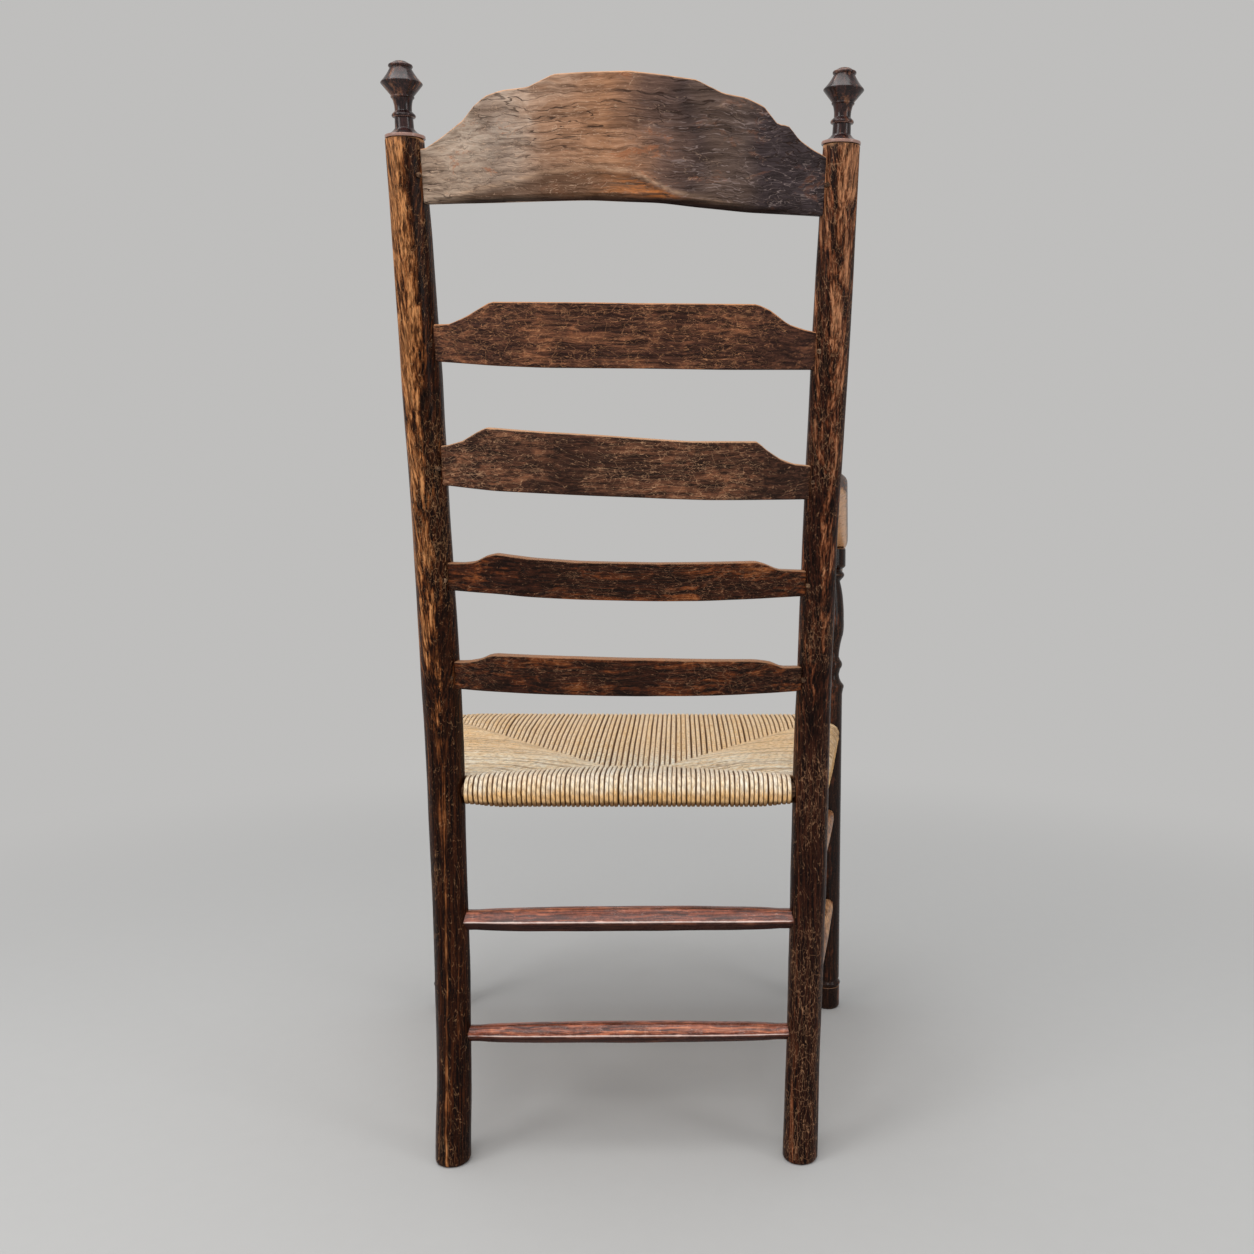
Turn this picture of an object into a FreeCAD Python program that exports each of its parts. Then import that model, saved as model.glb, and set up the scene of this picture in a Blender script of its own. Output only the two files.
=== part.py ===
# Rush-seated ladderback armchair, in millimetres.
# The chair faces -Y and stands on z = 0. Left is the sitter's left, on the +X side.
# The origin is on the floor, below the middle of the chair.
import FreeCAD
import Part
import Sketcher
import math
import os

doc = FreeCAD.newDocument("ladderback_armchair")
sheet = doc.addObject("Spreadsheet::Sheet", "dims")

SIZES = {
    # rear posts: round poles, upright to the bend and then leaning back. Their middle stands
    # rear_shift to the right of the front posts' middle
    "rear_foot_spread": 381.4,
    "rear_shift": 5,
    "rear_splay": 0.84,
    "rear_post_dia": 40,
    "bend_height": 470,
    "bend_radius": 420,
    "back_rake": 10.7,
    "rear_post_upper": 595.4,
    "post_edge_round": 3,
    # front posts, turned, from axis to axis
    "seat_depth": 411,
    "front_spread": 568,
    "front_post_dia": 35,
    "foot_dia": 37,
    "foot_length": 32,
    "foot_groove": 1,
    "foot_groove_dia": 33,
    "foot_ring_length": 5,
    "foot_ring_round": 1,
    "foot_taper": 6,
    # turned features above the seat; each rise is measured from the feature below
    "shoulder_height": 479,
    "shoulder_dia": 38,
    "shoulder_length": 6,
    "shoulder_taper": 8,
    "shoulder_round": 0.8,
    "cove_rise": 18,
    "cove_dia": 25,
    "cove_hollow": 1.5,
    "low_bead_rise": 15,
    "low_bead_dia": 34,
    "bead_length": 13,
    "bead_round": 3,
    "neck_rise": 19,
    "neck_dia": 25,
    "neck_hollow": 2,
    "vase_rise": 41,
    "vase_dia": 38,
    "vase_length": 12,
    "vase_round": 1,
    "vase_swell": 0.6,
    "waist_rise": 42,
    "waist_dia": 31,
    "top_bead_rise": 23,
    "top_bead_dia": 39,
    "cap_gap": 2,
    "cap_rise": 19,
    "cap_dia": 38,
    "cap_length": 5,
    "cap_swell": 0.8,
    "arm_seat_rise": 26,
    "post_top_dia": 33,
    "post_tenon_dia": 20,
    "post_tenon_length": 16,
    # finials, each with a round tenon in the top of its post
    "finial_tenon_dia": 14,
    "finial_tenon_length": 28,
    "finial_flange_dia": 37,
    "finial_flange_length": 2.6,
    "finial_flange_hollow": 2,
    "finial_neck_dia": 17,
    "finial_neck_height": 9.6,
    "finial_ring_height": 20,
    "finial_ring_dia": 21,
    "finial_ring_length": 3.4,
    "finial_waist_height": 25,
    "finial_waist_dia": 16,
    "finial_collar_height": 34.6,
    "finial_collar_dia": 23.2,
    "finial_collar_length": 2.6,
    "finial_rim_height": 46.6,
    "finial_rim_dia": 40.4,
    "finial_rim_length": 2.6,
    "finial_cap_height": 61,
    "finial_cap_dia": 22,
    "finial_cap_length": 3.5,
    "finial_dome_dia": 18,
    "finial_height": 67,
    "finial_hollow": 1,
    "finial_edge_round": 0.7,
    # slats, steamed to a bow; their heights are measured up the rake from the bend
    "slat_bow": 30,
    "slat_thickness": 9,
    "slat_stop": 8,
    "shoulder_outer": 173,
    "shoulder_inner": 134,
    "shoulder_hollow": 3,
    "crest_foot": 535,
    "crest_end": 50,
    "crest_tilt": 0.6,
    "crest_rise": 114,
    "crest_flat": 8,
    "crest_hollow": 3,
    "crest_end_ramp": 8,
    # the crest's two shoulders, from the crown outward: how wide each stretch is, and its fall
    "crest_left_crown": 60,
    "crest_left_crown_fall": 3.5,
    "crest_left_scoop": 24,
    "crest_left_scoop_fall": 11.3,
    "crest_left_step": 39,
    "crest_left_step_fall": 6.9,
    "crest_left_ramp": 46,
    "crest_left_ramp_fall": 36.3,
    "crest_right_crown": 54,
    "crest_right_crown_fall": 4.5,
    "crest_right_scoop": 24,
    "crest_right_scoop_fall": 10,
    "crest_right_step": 37,
    "crest_right_step_fall": 9,
    "crest_right_drop": 14,
    "crest_right_drop_fall": 14.5,
    "crest_right_ledge": 11,
    "crest_right_ledge_fall": 0.3,
    "crest_right_ramp": 24,
    "crest_right_ramp_fall": 19.2,
    "slat_2_foot": 387.5,
    "slat_2_rise": 60.3,
    "slat_2_end": 38,
    "slat_2_tilt": 0.4,
    "slat_3_foot": 263.5,
    "slat_3_rise": 59.5,
    "slat_3_end": 37.5,
    "slat_3_tilt": 1.7,
    "slat_4_foot": 158,
    "slat_4_rise": 39.5,
    "slat_4_end": 28,
    "slat_4_tilt": 0.6,
    "slat_5_foot": 55,
    "slat_5_rise": 40.5,
    "slat_5_end": 28,
    "slat_5_tilt": 0.2,
    "peg_dia": 4.6,
    "peg_length": 24,
    "peg_inset": 13,
    "peg_proud": 0.5,
    # arms
    "arm_width": 42,
    "arm_thickness": 22,
    "arm_rear_rise": 278,
    "arm_overhang": 46,
    "arm_drop": 42,
    "arm_scroll_thickness": 20,
    "arm_scroll_fillet": 10,
    "arm_scroll_hollow": 4,
    "arm_scroll_bow": 5,
    "arm_tip_length": 6,
    "arm_tip_rise": 10,
    "arm_tip_round": 2,
    "arm_front_slope": 28,
    "arm_front_round": 7,
    "arm_nose_taper": 8,
    "arm_nose_length": 2,
    "arm_nose_round": 3,
    "arm_side_bow": 2,
    "arm_neck_length": 46,
    "arm_neck_width": 24,
    "arm_cope_depth": 6,
    "arm_tenon_dia": 16,
    "arm_tenon_length": 14,
    # seat rails and the rush wound over them
    "rail_dia": 25,
    "rail_end_dia": 17,
    "rear_rail_height": 411.5,
    "front_rail_height": 419.6,
    "side_rail_drop": 8,
    "rush_thickness": 6,
    "rush_web": 12,
    # stretchers
    "rear_upper_height": 269.5,
    "rear_upper_dia": 26.5,
    "rear_upper_end_dia": 21,
    "rear_lower_height": 143,
    "rear_lower_dia": 22,
    "rear_lower_end_dia": 17,
    "side_upper_height": 291,
    "side_lower_height": 158,
    "side_stretcher_dia": 20,
    "side_stretcher_end_dia": 16,
    "front_stretcher_height": 134,
    "front_stretcher_dia": 30,
    "front_stretcher_end_dia": 17,
    # fits; cross rungs stop short of the post's axis and side rungs run past it;
    # saws and bores run past the wood by saw_clearance
    "rung_straight": 26,
    "cross_stop": 10.5,
    "through_past": 6,
    "joint_clearance": 0.15,
    "bottom_clearance": 0.3,
    "rush_clearance": 0.3,
    "saw_clearance": 5,
}

for row, (name, value) in enumerate(SIZES.items(), start=1):
    sheet.set("A%d" % row, name)
    sheet.set("B%d" % row, str(value))
    sheet.setAlias("B%d" % row, name)
doc.recompute()

LEFT = 1
RIGHT = -1
SIDES = ((LEFT, "left"), (RIGHT, "right"))
X_AXIS = FreeCAD.Vector(1, 0, 0)
Y_AXIS = FreeCAD.Vector(0, 1, 0)
Z_AXIS = FreeCAD.Vector(0, 0, 1)
sub_parts = []


# Reading and binding sizes

def size(expression):
    return float(sheet.evalExpression(expression))


def bind(obj, **properties):
    for name, expression in properties.items():
        obj.setExpression(name, expression)


def keep(obj, label):
    obj.Label = label
    sub_parts.append(obj)
    return obj


# Sketches whose corners are held by expressions

def sketch_in(body, role, name):
    sketch = body.newObject("Sketcher::SketchObject", name)
    plane = next(f for f in body.Origin.OriginFeatures if f.Role == role)
    sketch.AttachmentSupport = (plane, [""])
    sketch.MapMode = "FlatFace"
    return sketch


def edge_between(start, end, bulge):
    if not bulge:
        return Part.LineSegment(start, end)
    chord = end - start
    across = FreeCAD.Vector(-chord.y, chord.x, 0).normalize()
    middle = (start + end) * 0.5 + across * bulge
    return Part.Arc(start, middle, end)


def draw(sketch, corners, closed=True):
    """Each corner is (x, y) or (x, y, bulge): expressions, and how far the next edge bows left."""
    points = [FreeCAD.Vector(size(corner[0]), size(corner[1]), 0) for corner in corners]
    count = len(corners) if closed else len(corners) - 1
    edges = []
    for index in range(count):
        start = points[index]
        end = points[(index + 1) % len(points)]
        bulge = size(corners[index][2]) if len(corners[index]) > 2 else 0
        edge = sketch.addGeometry(edge_between(start, end, bulge))
        begins = sketch.getPoint(edge, 1).distanceToPoint(start) < 1e-6
        edges.append((edge, 1 if begins else 2, 2 if begins else 1))
        if bulge:
            sketch.addConstraint(Sketcher.Constraint("Radius", edge, sketch.Geometry[edge].Radius))
    ends = [(edge, tail) for edge, tail, _ in edges]
    if not closed:
        ends.append((edges[-1][0], edges[-1][2]))
    for point, corner, (edge, end) in zip(points, corners, ends):
        for kind, distance, expression in (("DistanceX", point.x, corner[0]),
                                           ("DistanceY", point.y, corner[1])):
            held = sketch.addConstraint(Sketcher.Constraint(kind, -1, 1, edge, end, distance))
            sketch.setExpression("Constraints[%d]" % held, expression)
    for index in range(len(edges) if closed else len(edges) - 1):
        edge, _, head = edges[index]
        next_edge, next_tail, _ = edges[(index + 1) % len(edges)]
        sketch.addConstraint(Sketcher.Constraint("Coincident", edge, head, next_edge, next_tail))
    return sketch


def turned(name, corners):
    """A piece turned about its own Z axis, from the half profile in corners."""
    body = doc.addObject("PartDesign::Body", name)
    profile = draw(sketch_in(body, "XZ_Plane", name + "_profile"), corners)
    doc.recompute()
    turning = body.newObject("PartDesign::Revolution", name + "_turning")
    turning.Profile = profile
    turning.ReferenceAxis = (profile, ["V_Axis"])
    turning.Angle = 360
    doc.recompute()
    return body


def cylinder(name, radius, height, placement):
    tool = doc.addObject("Part::Cylinder", name)
    bind(tool, Radius=radius, Height=height)
    tool.Placement = placement
    return tool


def cut(piece, tools, label):
    """The piece with its holes and mortises cut by the tools."""
    group = doc.addObject("Part::Compound", label + "_tools")
    group.Links = tools
    result = doc.addObject("Part::Cut", label)
    result.Base = piece
    result.Tool = group
    return keep(result, label)


# Where the posts stand

BACK_REACH = ("(sin(dims.back_rake * 1deg) * (dims.crest_foot + dims.crest_rise)"
              " + cos(dims.back_rake * 1deg) * (dims.slat_bow + dims.slat_thickness / 2))")
rear_x = -size("dims.rear_shift")
rear_y = size("(dims.seat_depth + dims.arm_overhang - %s) / 2" % BACK_REACH)
front_y = rear_y - size("dims.seat_depth")
rake = FreeCAD.Rotation(X_AXIS, -size("dims.back_rake"))


def rear_post_placement(side):
    foot = FreeCAD.Vector(rear_x + side * size("dims.rear_foot_spread / 2"), rear_y, 0)
    return FreeCAD.Placement(foot, FreeCAD.Rotation(Y_AXIS, side * size("dims.rear_splay")))


def rear_axis(side, height):
    """The point of a rear post's axis at a height above the floor."""
    above_bend = max(0, height - size("dims.bend_height"))
    x = size("dims.rear_foot_spread / 2") + height * math.tan(math.radians(size("dims.rear_splay")))
    y = rear_y + above_bend * math.tan(math.radians(size("dims.back_rake")))
    return FreeCAD.Vector(rear_x + side * x, y, height)


def front_axis(side, height):
    return FreeCAD.Vector(side * size("dims.front_spread / 2"), front_y, height)


TURNED_FEATURES = ("shoulder_height", "cove_rise", "low_bead_rise", "neck_rise", "vase_rise",
                   "waist_rise", "top_bead_rise", "cap_rise", "arm_seat_rise")


def level(feature):
    """The height of a turned feature of the front posts, which stands on the ones below it."""
    stack = TURNED_FEATURES[:TURNED_FEATURES.index(feature) + 1]
    return "(%s)" % " + ".join("dims." + name for name in stack)


arm_seat_level = level("arm_seat_rise")
arm_rear_level = "(dims.bend_height + dims.arm_rear_rise)"


def back_placement(up_rake, tilt=0):
    """A frame in the leaning plane of the back, up_rake above the bend."""
    plane = FreeCAD.Placement(FreeCAD.Vector(rear_x, rear_y, size("dims.bend_height")), rake)
    turn = FreeCAD.Rotation(Y_AXIS, -tilt)
    return plane.multiply(FreeCAD.Placement(FreeCAD.Vector(0, 0, up_rake), turn))


def between(start, end, offset=0):
    """A frame whose Z axis runs from start to end, moved along it by offset."""
    direction = (end - start).normalize()
    return FreeCAD.Placement(start + direction * offset, FreeCAD.Rotation(Z_AXIS, direction))


# Rungs: rails and stretchers, straight where they enter the posts and fuller in the middle

rear_post_tools = {LEFT: [], RIGHT: []}
front_post_tools = {LEFT: [], RIGHT: []}
rail_frames = []


def rung(label, start, end, inset, dia, end_dia):
    """A rung between two post axes. inset is the end's distance from each axis, inward."""
    length = (end - start).Length - 2 * size(inset)
    far_end = "%.6f" % length
    body = turned(label, [
        ("0", "0"),
        (end_dia + " / 2", "0"),
        (end_dia + " / 2", "dims.rung_straight", "-(%s - %s) / 2" % (dia, end_dia)),
        (end_dia + " / 2", far_end + " - dims.rung_straight"),
        (end_dia + " / 2", far_end),
        ("0", far_end),
    ])
    body.Placement = between(start, end, size(inset))
    return keep(body, label)


def socket(name, axis_point, towards, inset, end_dia, tools):
    """The round mortise for a rung's end, in the post at axis_point."""
    deep = size(inset) - size("dims.bottom_clearance")
    tools.append(cylinder(name, end_dia + " / 2 + dims.joint_clearance",
                          "dims.rear_post_dia + dims.through_past", between(axis_point, towards, deep)))


def joined_rung(label, start, end, start_tools, end_tools, inset, dia, end_dia):
    rung(label, start, end, inset, dia, end_dia)
    socket(label + "_socket_a", start, end, inset, end_dia, start_tools)
    socket(label + "_socket_b", end, start, inset, end_dia, end_tools)
    return between(start, end), (end - start).Length


def cross_rung(label, axis, tools, height, dia, end_dia):
    """A rung across the chair. It stops short of the posts' axes, clear of the side rungs."""
    return joined_rung(label, axis(LEFT, size(height)), axis(RIGHT, size(height)),
                       tools[LEFT], tools[RIGHT], "dims.cross_stop", dia, end_dia)


def side_rung(label, side, rear_height, front_height, dia, end_dia):
    return joined_rung(label, rear_axis(side, size(rear_height)), front_axis(side, size(front_height)),
                       rear_post_tools[side], front_post_tools[side], "-dims.through_past",
                       dia, end_dia)


def make_rungs():
    for label, axis, tools, height in (
            ("rear_seat_rail", rear_axis, rear_post_tools, "dims.rear_rail_height"),
            ("front_seat_rail", front_axis, front_post_tools, "dims.front_rail_height")):
        rail_frames.append(cross_rung(label, axis, tools, height, "dims.rail_dia", "dims.rail_end_dia"))
    for side, word in SIDES:
        rail_frames.append(side_rung("side_seat_rail_" + word, side,
                                     "dims.rear_rail_height - dims.side_rail_drop",
                                     "dims.front_rail_height - dims.side_rail_drop",
                                     "dims.rail_dia", "dims.rail_end_dia"))
        for level in ("upper", "lower"):
            height = "dims.side_%s_height" % level
            side_rung("side_stretcher_%s_%s" % (level, word), side, height, height,
                      "dims.side_stretcher_dia", "dims.side_stretcher_end_dia")
    for level in ("upper", "lower"):
        stem = "dims.rear_" + level
        cross_rung("rear_stretcher_" + level, rear_axis, rear_post_tools,
                   stem + "_height", stem + "_dia", stem + "_end_dia")
    cross_rung("front_stretcher", front_axis, front_post_tools, "dims.front_stretcher_height",
               "dims.front_stretcher_dia", "dims.front_stretcher_end_dia")


# Slats

def post_spread_half(up_rake):
    """Half the distance between the rear posts' axes, up_rake above the bend."""
    rise = size("dims.bend_height") + up_rake * math.cos(math.radians(size("dims.back_rake")))
    return rear_axis(LEFT, rise).x - rear_x


def bowed_board(name, half_length, thickness, height):
    """A board bent to the slats' bow, standing on its own XY plane."""
    chord = post_spread_half(size("dims.crest_foot"))
    radius = "((%.6f^2 + dims.slat_bow^2) / (2 * dims.slat_bow))" % chord
    end = "%.6f" % half_length
    faces = []
    for wall in ("-", "+"):
        arc = "(%s %s %s / 2)" % (radius, wall, thickness)
        end_y = "sqrt(%s^2 - %s^2) + dims.slat_bow - %s" % (arc, end, radius)
        sag = size("dims.slat_bow %s %s / 2 - (%s)" % (wall, thickness, end_y))
        faces.append((end_y, sag))
    (hollow_y, hollow_sag), (full_y, full_sag) = faces
    body = doc.addObject("PartDesign::Body", name)
    plan = draw(sketch_in(body, "XY_Plane", name + "_plan"), [
        ("-" + end, hollow_y, "%.9f" % hollow_sag),
        (end, hollow_y),
        (end, full_y, "%.9f" % -full_sag),
        ("-" + end, full_y),
    ])
    doc.recompute()
    board = body.newObject("PartDesign::Pad", name + "_board")
    board.Profile = plan
    bind(board, Length=height)
    doc.recompute()
    return body


def end_to_end(right, left):
    """The corners from the right end to the left end of two halves given from the middle out."""
    corners = []
    for index in range(len(right) - 1, -1, -1):
        across, rise = right[index][:2]
        bulge = right[index - 1][2:] if index else ()
        corners.append(("-(%s)" % across, rise) + bulge)
    return corners + left


def shaped_slat(name, half_length, rise, right, left):
    """A bowed board with everything above its top edge, given as two halves, sawn off."""
    body = bowed_board(name, half_length, "dims.slat_thickness", rise + " + dims.saw_clearance")
    far = "(%.6f + dims.saw_clearance)" % half_length
    over = rise + " + 2 * dims.saw_clearance"
    end_rise = left[-1][1]
    outline = [("-" + far, over), ("-" + far, end_rise)] + end_to_end(right, left)
    outline += [(far, end_rise), (far, over)]
    offcut = draw(sketch_in(body, "XZ_Plane", name + "_offcut"), outline)
    doc.recompute()
    saw = body.newObject("PartDesign::Pocket", name + "_saw")
    saw.Profile = offcut
    saw.Type = "ThroughAll"
    saw.Midplane = True
    doc.recompute()
    return body


# the stretches of the crest's top edge from its crown outward, and how each one bows
CREST_STRETCHES = {
    "left": (("crown", "0"), ("scoop", "-dims.crest_hollow / 3"), ("step", "dims.crest_hollow / 3"),
             ("ramp", "-dims.crest_hollow")),
    "right": (("crown", "0"), ("scoop", "-dims.crest_hollow / 3"), ("step", "dims.crest_hollow / 3"),
              ("drop", "-dims.crest_hollow / 3"), ("ledge", "0"), ("ramp", "-dims.crest_hollow / 2")),
}


def crest_profile(word):
    """Half of the crest's top edge, from the middle to the end, each corner set from the last."""
    across, rise = "dims.crest_flat", "dims.crest_rise"
    corners = []
    for stretch, bow in CREST_STRETCHES[word]:
        corners.append((across, rise, bow))
        across += " + dims.crest_%s_%s" % (word, stretch)
        rise += " - dims.crest_%s_%s_fall" % (word, stretch)
    corners.append((across, rise))
    corners.append((across + " + dims.crest_end_ramp", "dims.crest_end"))
    return corners


def slat_profile(stem):
    return [
        ("dims.shoulder_inner / 4", stem + "_rise"),
        ("dims.shoulder_inner", stem + "_rise", "-dims.shoulder_hollow"),
        ("dims.shoulder_outer", stem + "_end"),
    ]


pegs = []


def add_peg(name, frame, u, v):
    """A peg driven from the back through the post and the slat's tenon. Returns its hole."""
    half_post = size("dims.rear_post_dia / 2")
    inset = size("dims.peg_inset")
    surface = math.sqrt(half_post ** 2 - inset ** 2) + size("dims.peg_proud")
    inner_end = FreeCAD.Vector(u, surface - size("dims.peg_length"), v)
    lying = FreeCAD.Placement(inner_end, FreeCAD.Rotation(Z_AXIS, Y_AXIS))
    pegs.append(cylinder(name, "dims.peg_dia / 2", "dims.peg_length", frame.multiply(lying)))
    deeper = FreeCAD.Vector(u, inner_end.y - size("dims.bottom_clearance"), v)
    lying = FreeCAD.Placement(deeper, FreeCAD.Rotation(Z_AXIS, Y_AXIS))
    return cylinder(name + "_hole", "dims.peg_dia / 2 + dims.joint_clearance",
                    "dims.peg_length + dims.saw_clearance", frame.multiply(lying))


def make_slat(label, stem, right, left):
    foot = size(stem + "_foot")
    frame = back_placement(foot, size(stem + "_tilt"))
    half = post_spread_half(foot) - size("dims.slat_stop")
    board = shaped_slat(label + "_board", half, stem + "_rise", right, left)
    board.Placement = frame
    clearance = "2 * dims.joint_clearance"
    mortise = bowed_board(label + "_mortise", half + size("dims.bottom_clearance"),
                          "(dims.slat_thickness + %s)" % clearance, "%s_end + %s" % (stem, clearance))
    mortise.Placement = frame.multiply(
        FreeCAD.Placement(FreeCAD.Vector(0, 0, -size("dims.joint_clearance")), FreeCAD.Rotation()))
    holes = []
    for side, word in SIDES:
        u = side * (post_spread_half(foot) - size("dims.peg_inset"))
        hole = add_peg("%s_peg_%s" % (label, word), frame, u, size(stem + "_end / 2"))
        holes.append(hole)
        rear_post_tools[side].extend((mortise, hole))
    cut(board, holes, label)


def make_slats():
    make_slat("crest_rail", "dims.crest", crest_profile("right"), crest_profile("left"))
    for number in (2, 3, 4, 5):
        stem = "dims.slat_%d" % number
        make_slat("back_slat_%d" % number, stem, slat_profile(stem), slat_profile(stem))
    group = doc.addObject("Part::Compound", "slat_pegs")
    group.Links = pegs
    keep(group, "slat_pegs")


# Posts and finials

def post_top(side):
    """The frame of a rear post's upper end, its Z axis along the post."""
    angle = math.radians(size("dims.back_rake"))
    upper = size("dims.rear_post_upper")
    local = FreeCAD.Vector(0, upper * math.sin(angle), size("dims.bend_height") + upper * math.cos(angle))
    return rear_post_placement(side).multiply(FreeCAD.Placement(local, rake))


def rear_pole(name):
    """A round pole with one gentle bend, its lower end a little below the floor."""
    body = doc.addObject("PartDesign::Body", name)
    section = sketch_in(body, "XY_Plane", name + "_section")
    section.AttachmentOffset.Base.z = -size("dims.post_edge_round")
    circle = section.addGeometry(Part.Circle(FreeCAD.Vector(), Z_AXIS, size("dims.rear_post_dia / 2")))
    section.addConstraint(Sketcher.Constraint("Coincident", circle, 3, -1, 1))
    radius = section.addConstraint(Sketcher.Constraint("Radius", circle, size("dims.rear_post_dia / 2")))
    section.setExpression("Constraints[%d]" % radius, "dims.rear_post_dia / 2")
    turn = "(dims.back_rake * 1deg)"
    tangent = "(dims.bend_radius * tan(%s / 2))" % turn
    sag = size("dims.bend_radius * (1 - cos(%s / 2))" % turn)
    path = draw(sketch_in(body, "YZ_Plane", name + "_path"), [
        ("0", "-dims.post_edge_round"),
        ("0", "dims.bend_height - %s" % tangent, "%.9f" % sag),
        ("%s * sin(%s)" % (tangent, turn), "dims.bend_height + %s * cos(%s)" % (tangent, turn)),
        ("dims.rear_post_upper * sin(%s)" % turn,
         "dims.bend_height + dims.rear_post_upper * cos(%s)" % turn),
    ], closed=False)
    doc.recompute()
    pole = body.newObject("PartDesign::AdditivePipe", name + "_pole")
    pole.Profile = section
    pole.Spine = path
    doc.recompute()
    foot_edge = next(index for index, edge in enumerate(pole.Shape.Edges, start=1)
                     if edge.BoundBox.ZMax < 0)
    softened = body.newObject("PartDesign::Chamfer", name + "_foot_edge")
    softened.Base = (pole, ["Edge%d" % foot_edge])
    bind(softened, Size="dims.post_edge_round * 2")
    doc.recompute()
    return body


def make_rear_posts():
    for side, word in SIDES:
        label = "rear_post_" + word
        body = rear_pole(label + "_pole")
        body.Placement = rear_post_placement(side)
        floor_saw = doc.addObject("Part::Box", label + "_floor_saw")
        bind(floor_saw, Length="dims.rear_post_dia * 2", Width="dims.rear_post_dia * 2",
             Height="dims.rear_post_dia")
        foot = rear_axis(side, 0)
        across = size("dims.rear_post_dia")
        floor_saw.Placement.Base = foot - FreeCAD.Vector(across, across, across)
        down = post_top(side).multiply(
            FreeCAD.Placement(FreeCAD.Vector(), FreeCAD.Rotation(X_AXIS, 180)))
        bore = cylinder(label + "_finial_bore", "dims.finial_tenon_dia / 2 + dims.joint_clearance",
                        "dims.finial_tenon_length + dims.bottom_clearance", down)
        cut(body, rear_post_tools[side] + [floor_saw, bore], label)


def make_finials():
    dome_rise = "(dims.finial_height - dims.finial_cap_height - dims.finial_cap_length)"
    dome_half = "(dims.finial_dome_dia / 2)"
    dome_bow = "-sqrt(%s^2 + %s^2) / 2 * tan(atan(%s / %s) / 2)" % (
        dome_half, dome_rise, dome_rise, dome_half)
    edge_round = "-dims.finial_edge_round"
    hollow = "dims.finial_hollow"
    for side, word in SIDES:
        body = turned("finial_" + word, [
            ("0", "-dims.finial_tenon_length"),
            ("dims.finial_tenon_dia / 2", "-dims.finial_tenon_length"),
            ("dims.finial_tenon_dia / 2", "0"),
            ("dims.finial_flange_dia / 2", "0"),
            ("dims.finial_flange_dia / 2", "dims.finial_flange_length",
             "dims.finial_flange_hollow"),
            ("dims.finial_neck_dia / 2", "dims.finial_neck_height"),
            ("dims.finial_neck_dia / 2", "dims.finial_ring_height - dims.finial_ring_length / 2"),
            ("dims.finial_ring_dia / 2", "dims.finial_ring_height - dims.finial_ring_length / 2",
             edge_round),
            ("dims.finial_ring_dia / 2", "dims.finial_ring_height + dims.finial_ring_length / 2"),
            ("dims.finial_waist_dia / 2", "dims.finial_waist_height", hollow),
            ("dims.finial_collar_dia / 2", "dims.finial_collar_height", edge_round),
            ("dims.finial_collar_dia / 2", "dims.finial_collar_height + dims.finial_collar_length",
             hollow),
            ("dims.finial_rim_dia / 2", "dims.finial_rim_height", edge_round),
            ("dims.finial_rim_dia / 2", "dims.finial_rim_height + dims.finial_rim_length", hollow),
            ("dims.finial_cap_dia / 2", "dims.finial_cap_height", edge_round),
            ("dims.finial_cap_dia / 2", "dims.finial_cap_height + dims.finial_cap_length"),
            ("dims.finial_dome_dia / 2", "dims.finial_cap_height + dims.finial_cap_length", dome_bow),
            ("0", "dims.finial_height"),
        ])
        body.Placement = post_top(side)
        keep(body, "finial_" + word)


def around(feature, sign, length):
    """The lower (-) or upper (+) end of a turned feature of a given length."""
    return "%s %s dims.%s / 2" % (level(feature), sign, length)


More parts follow.
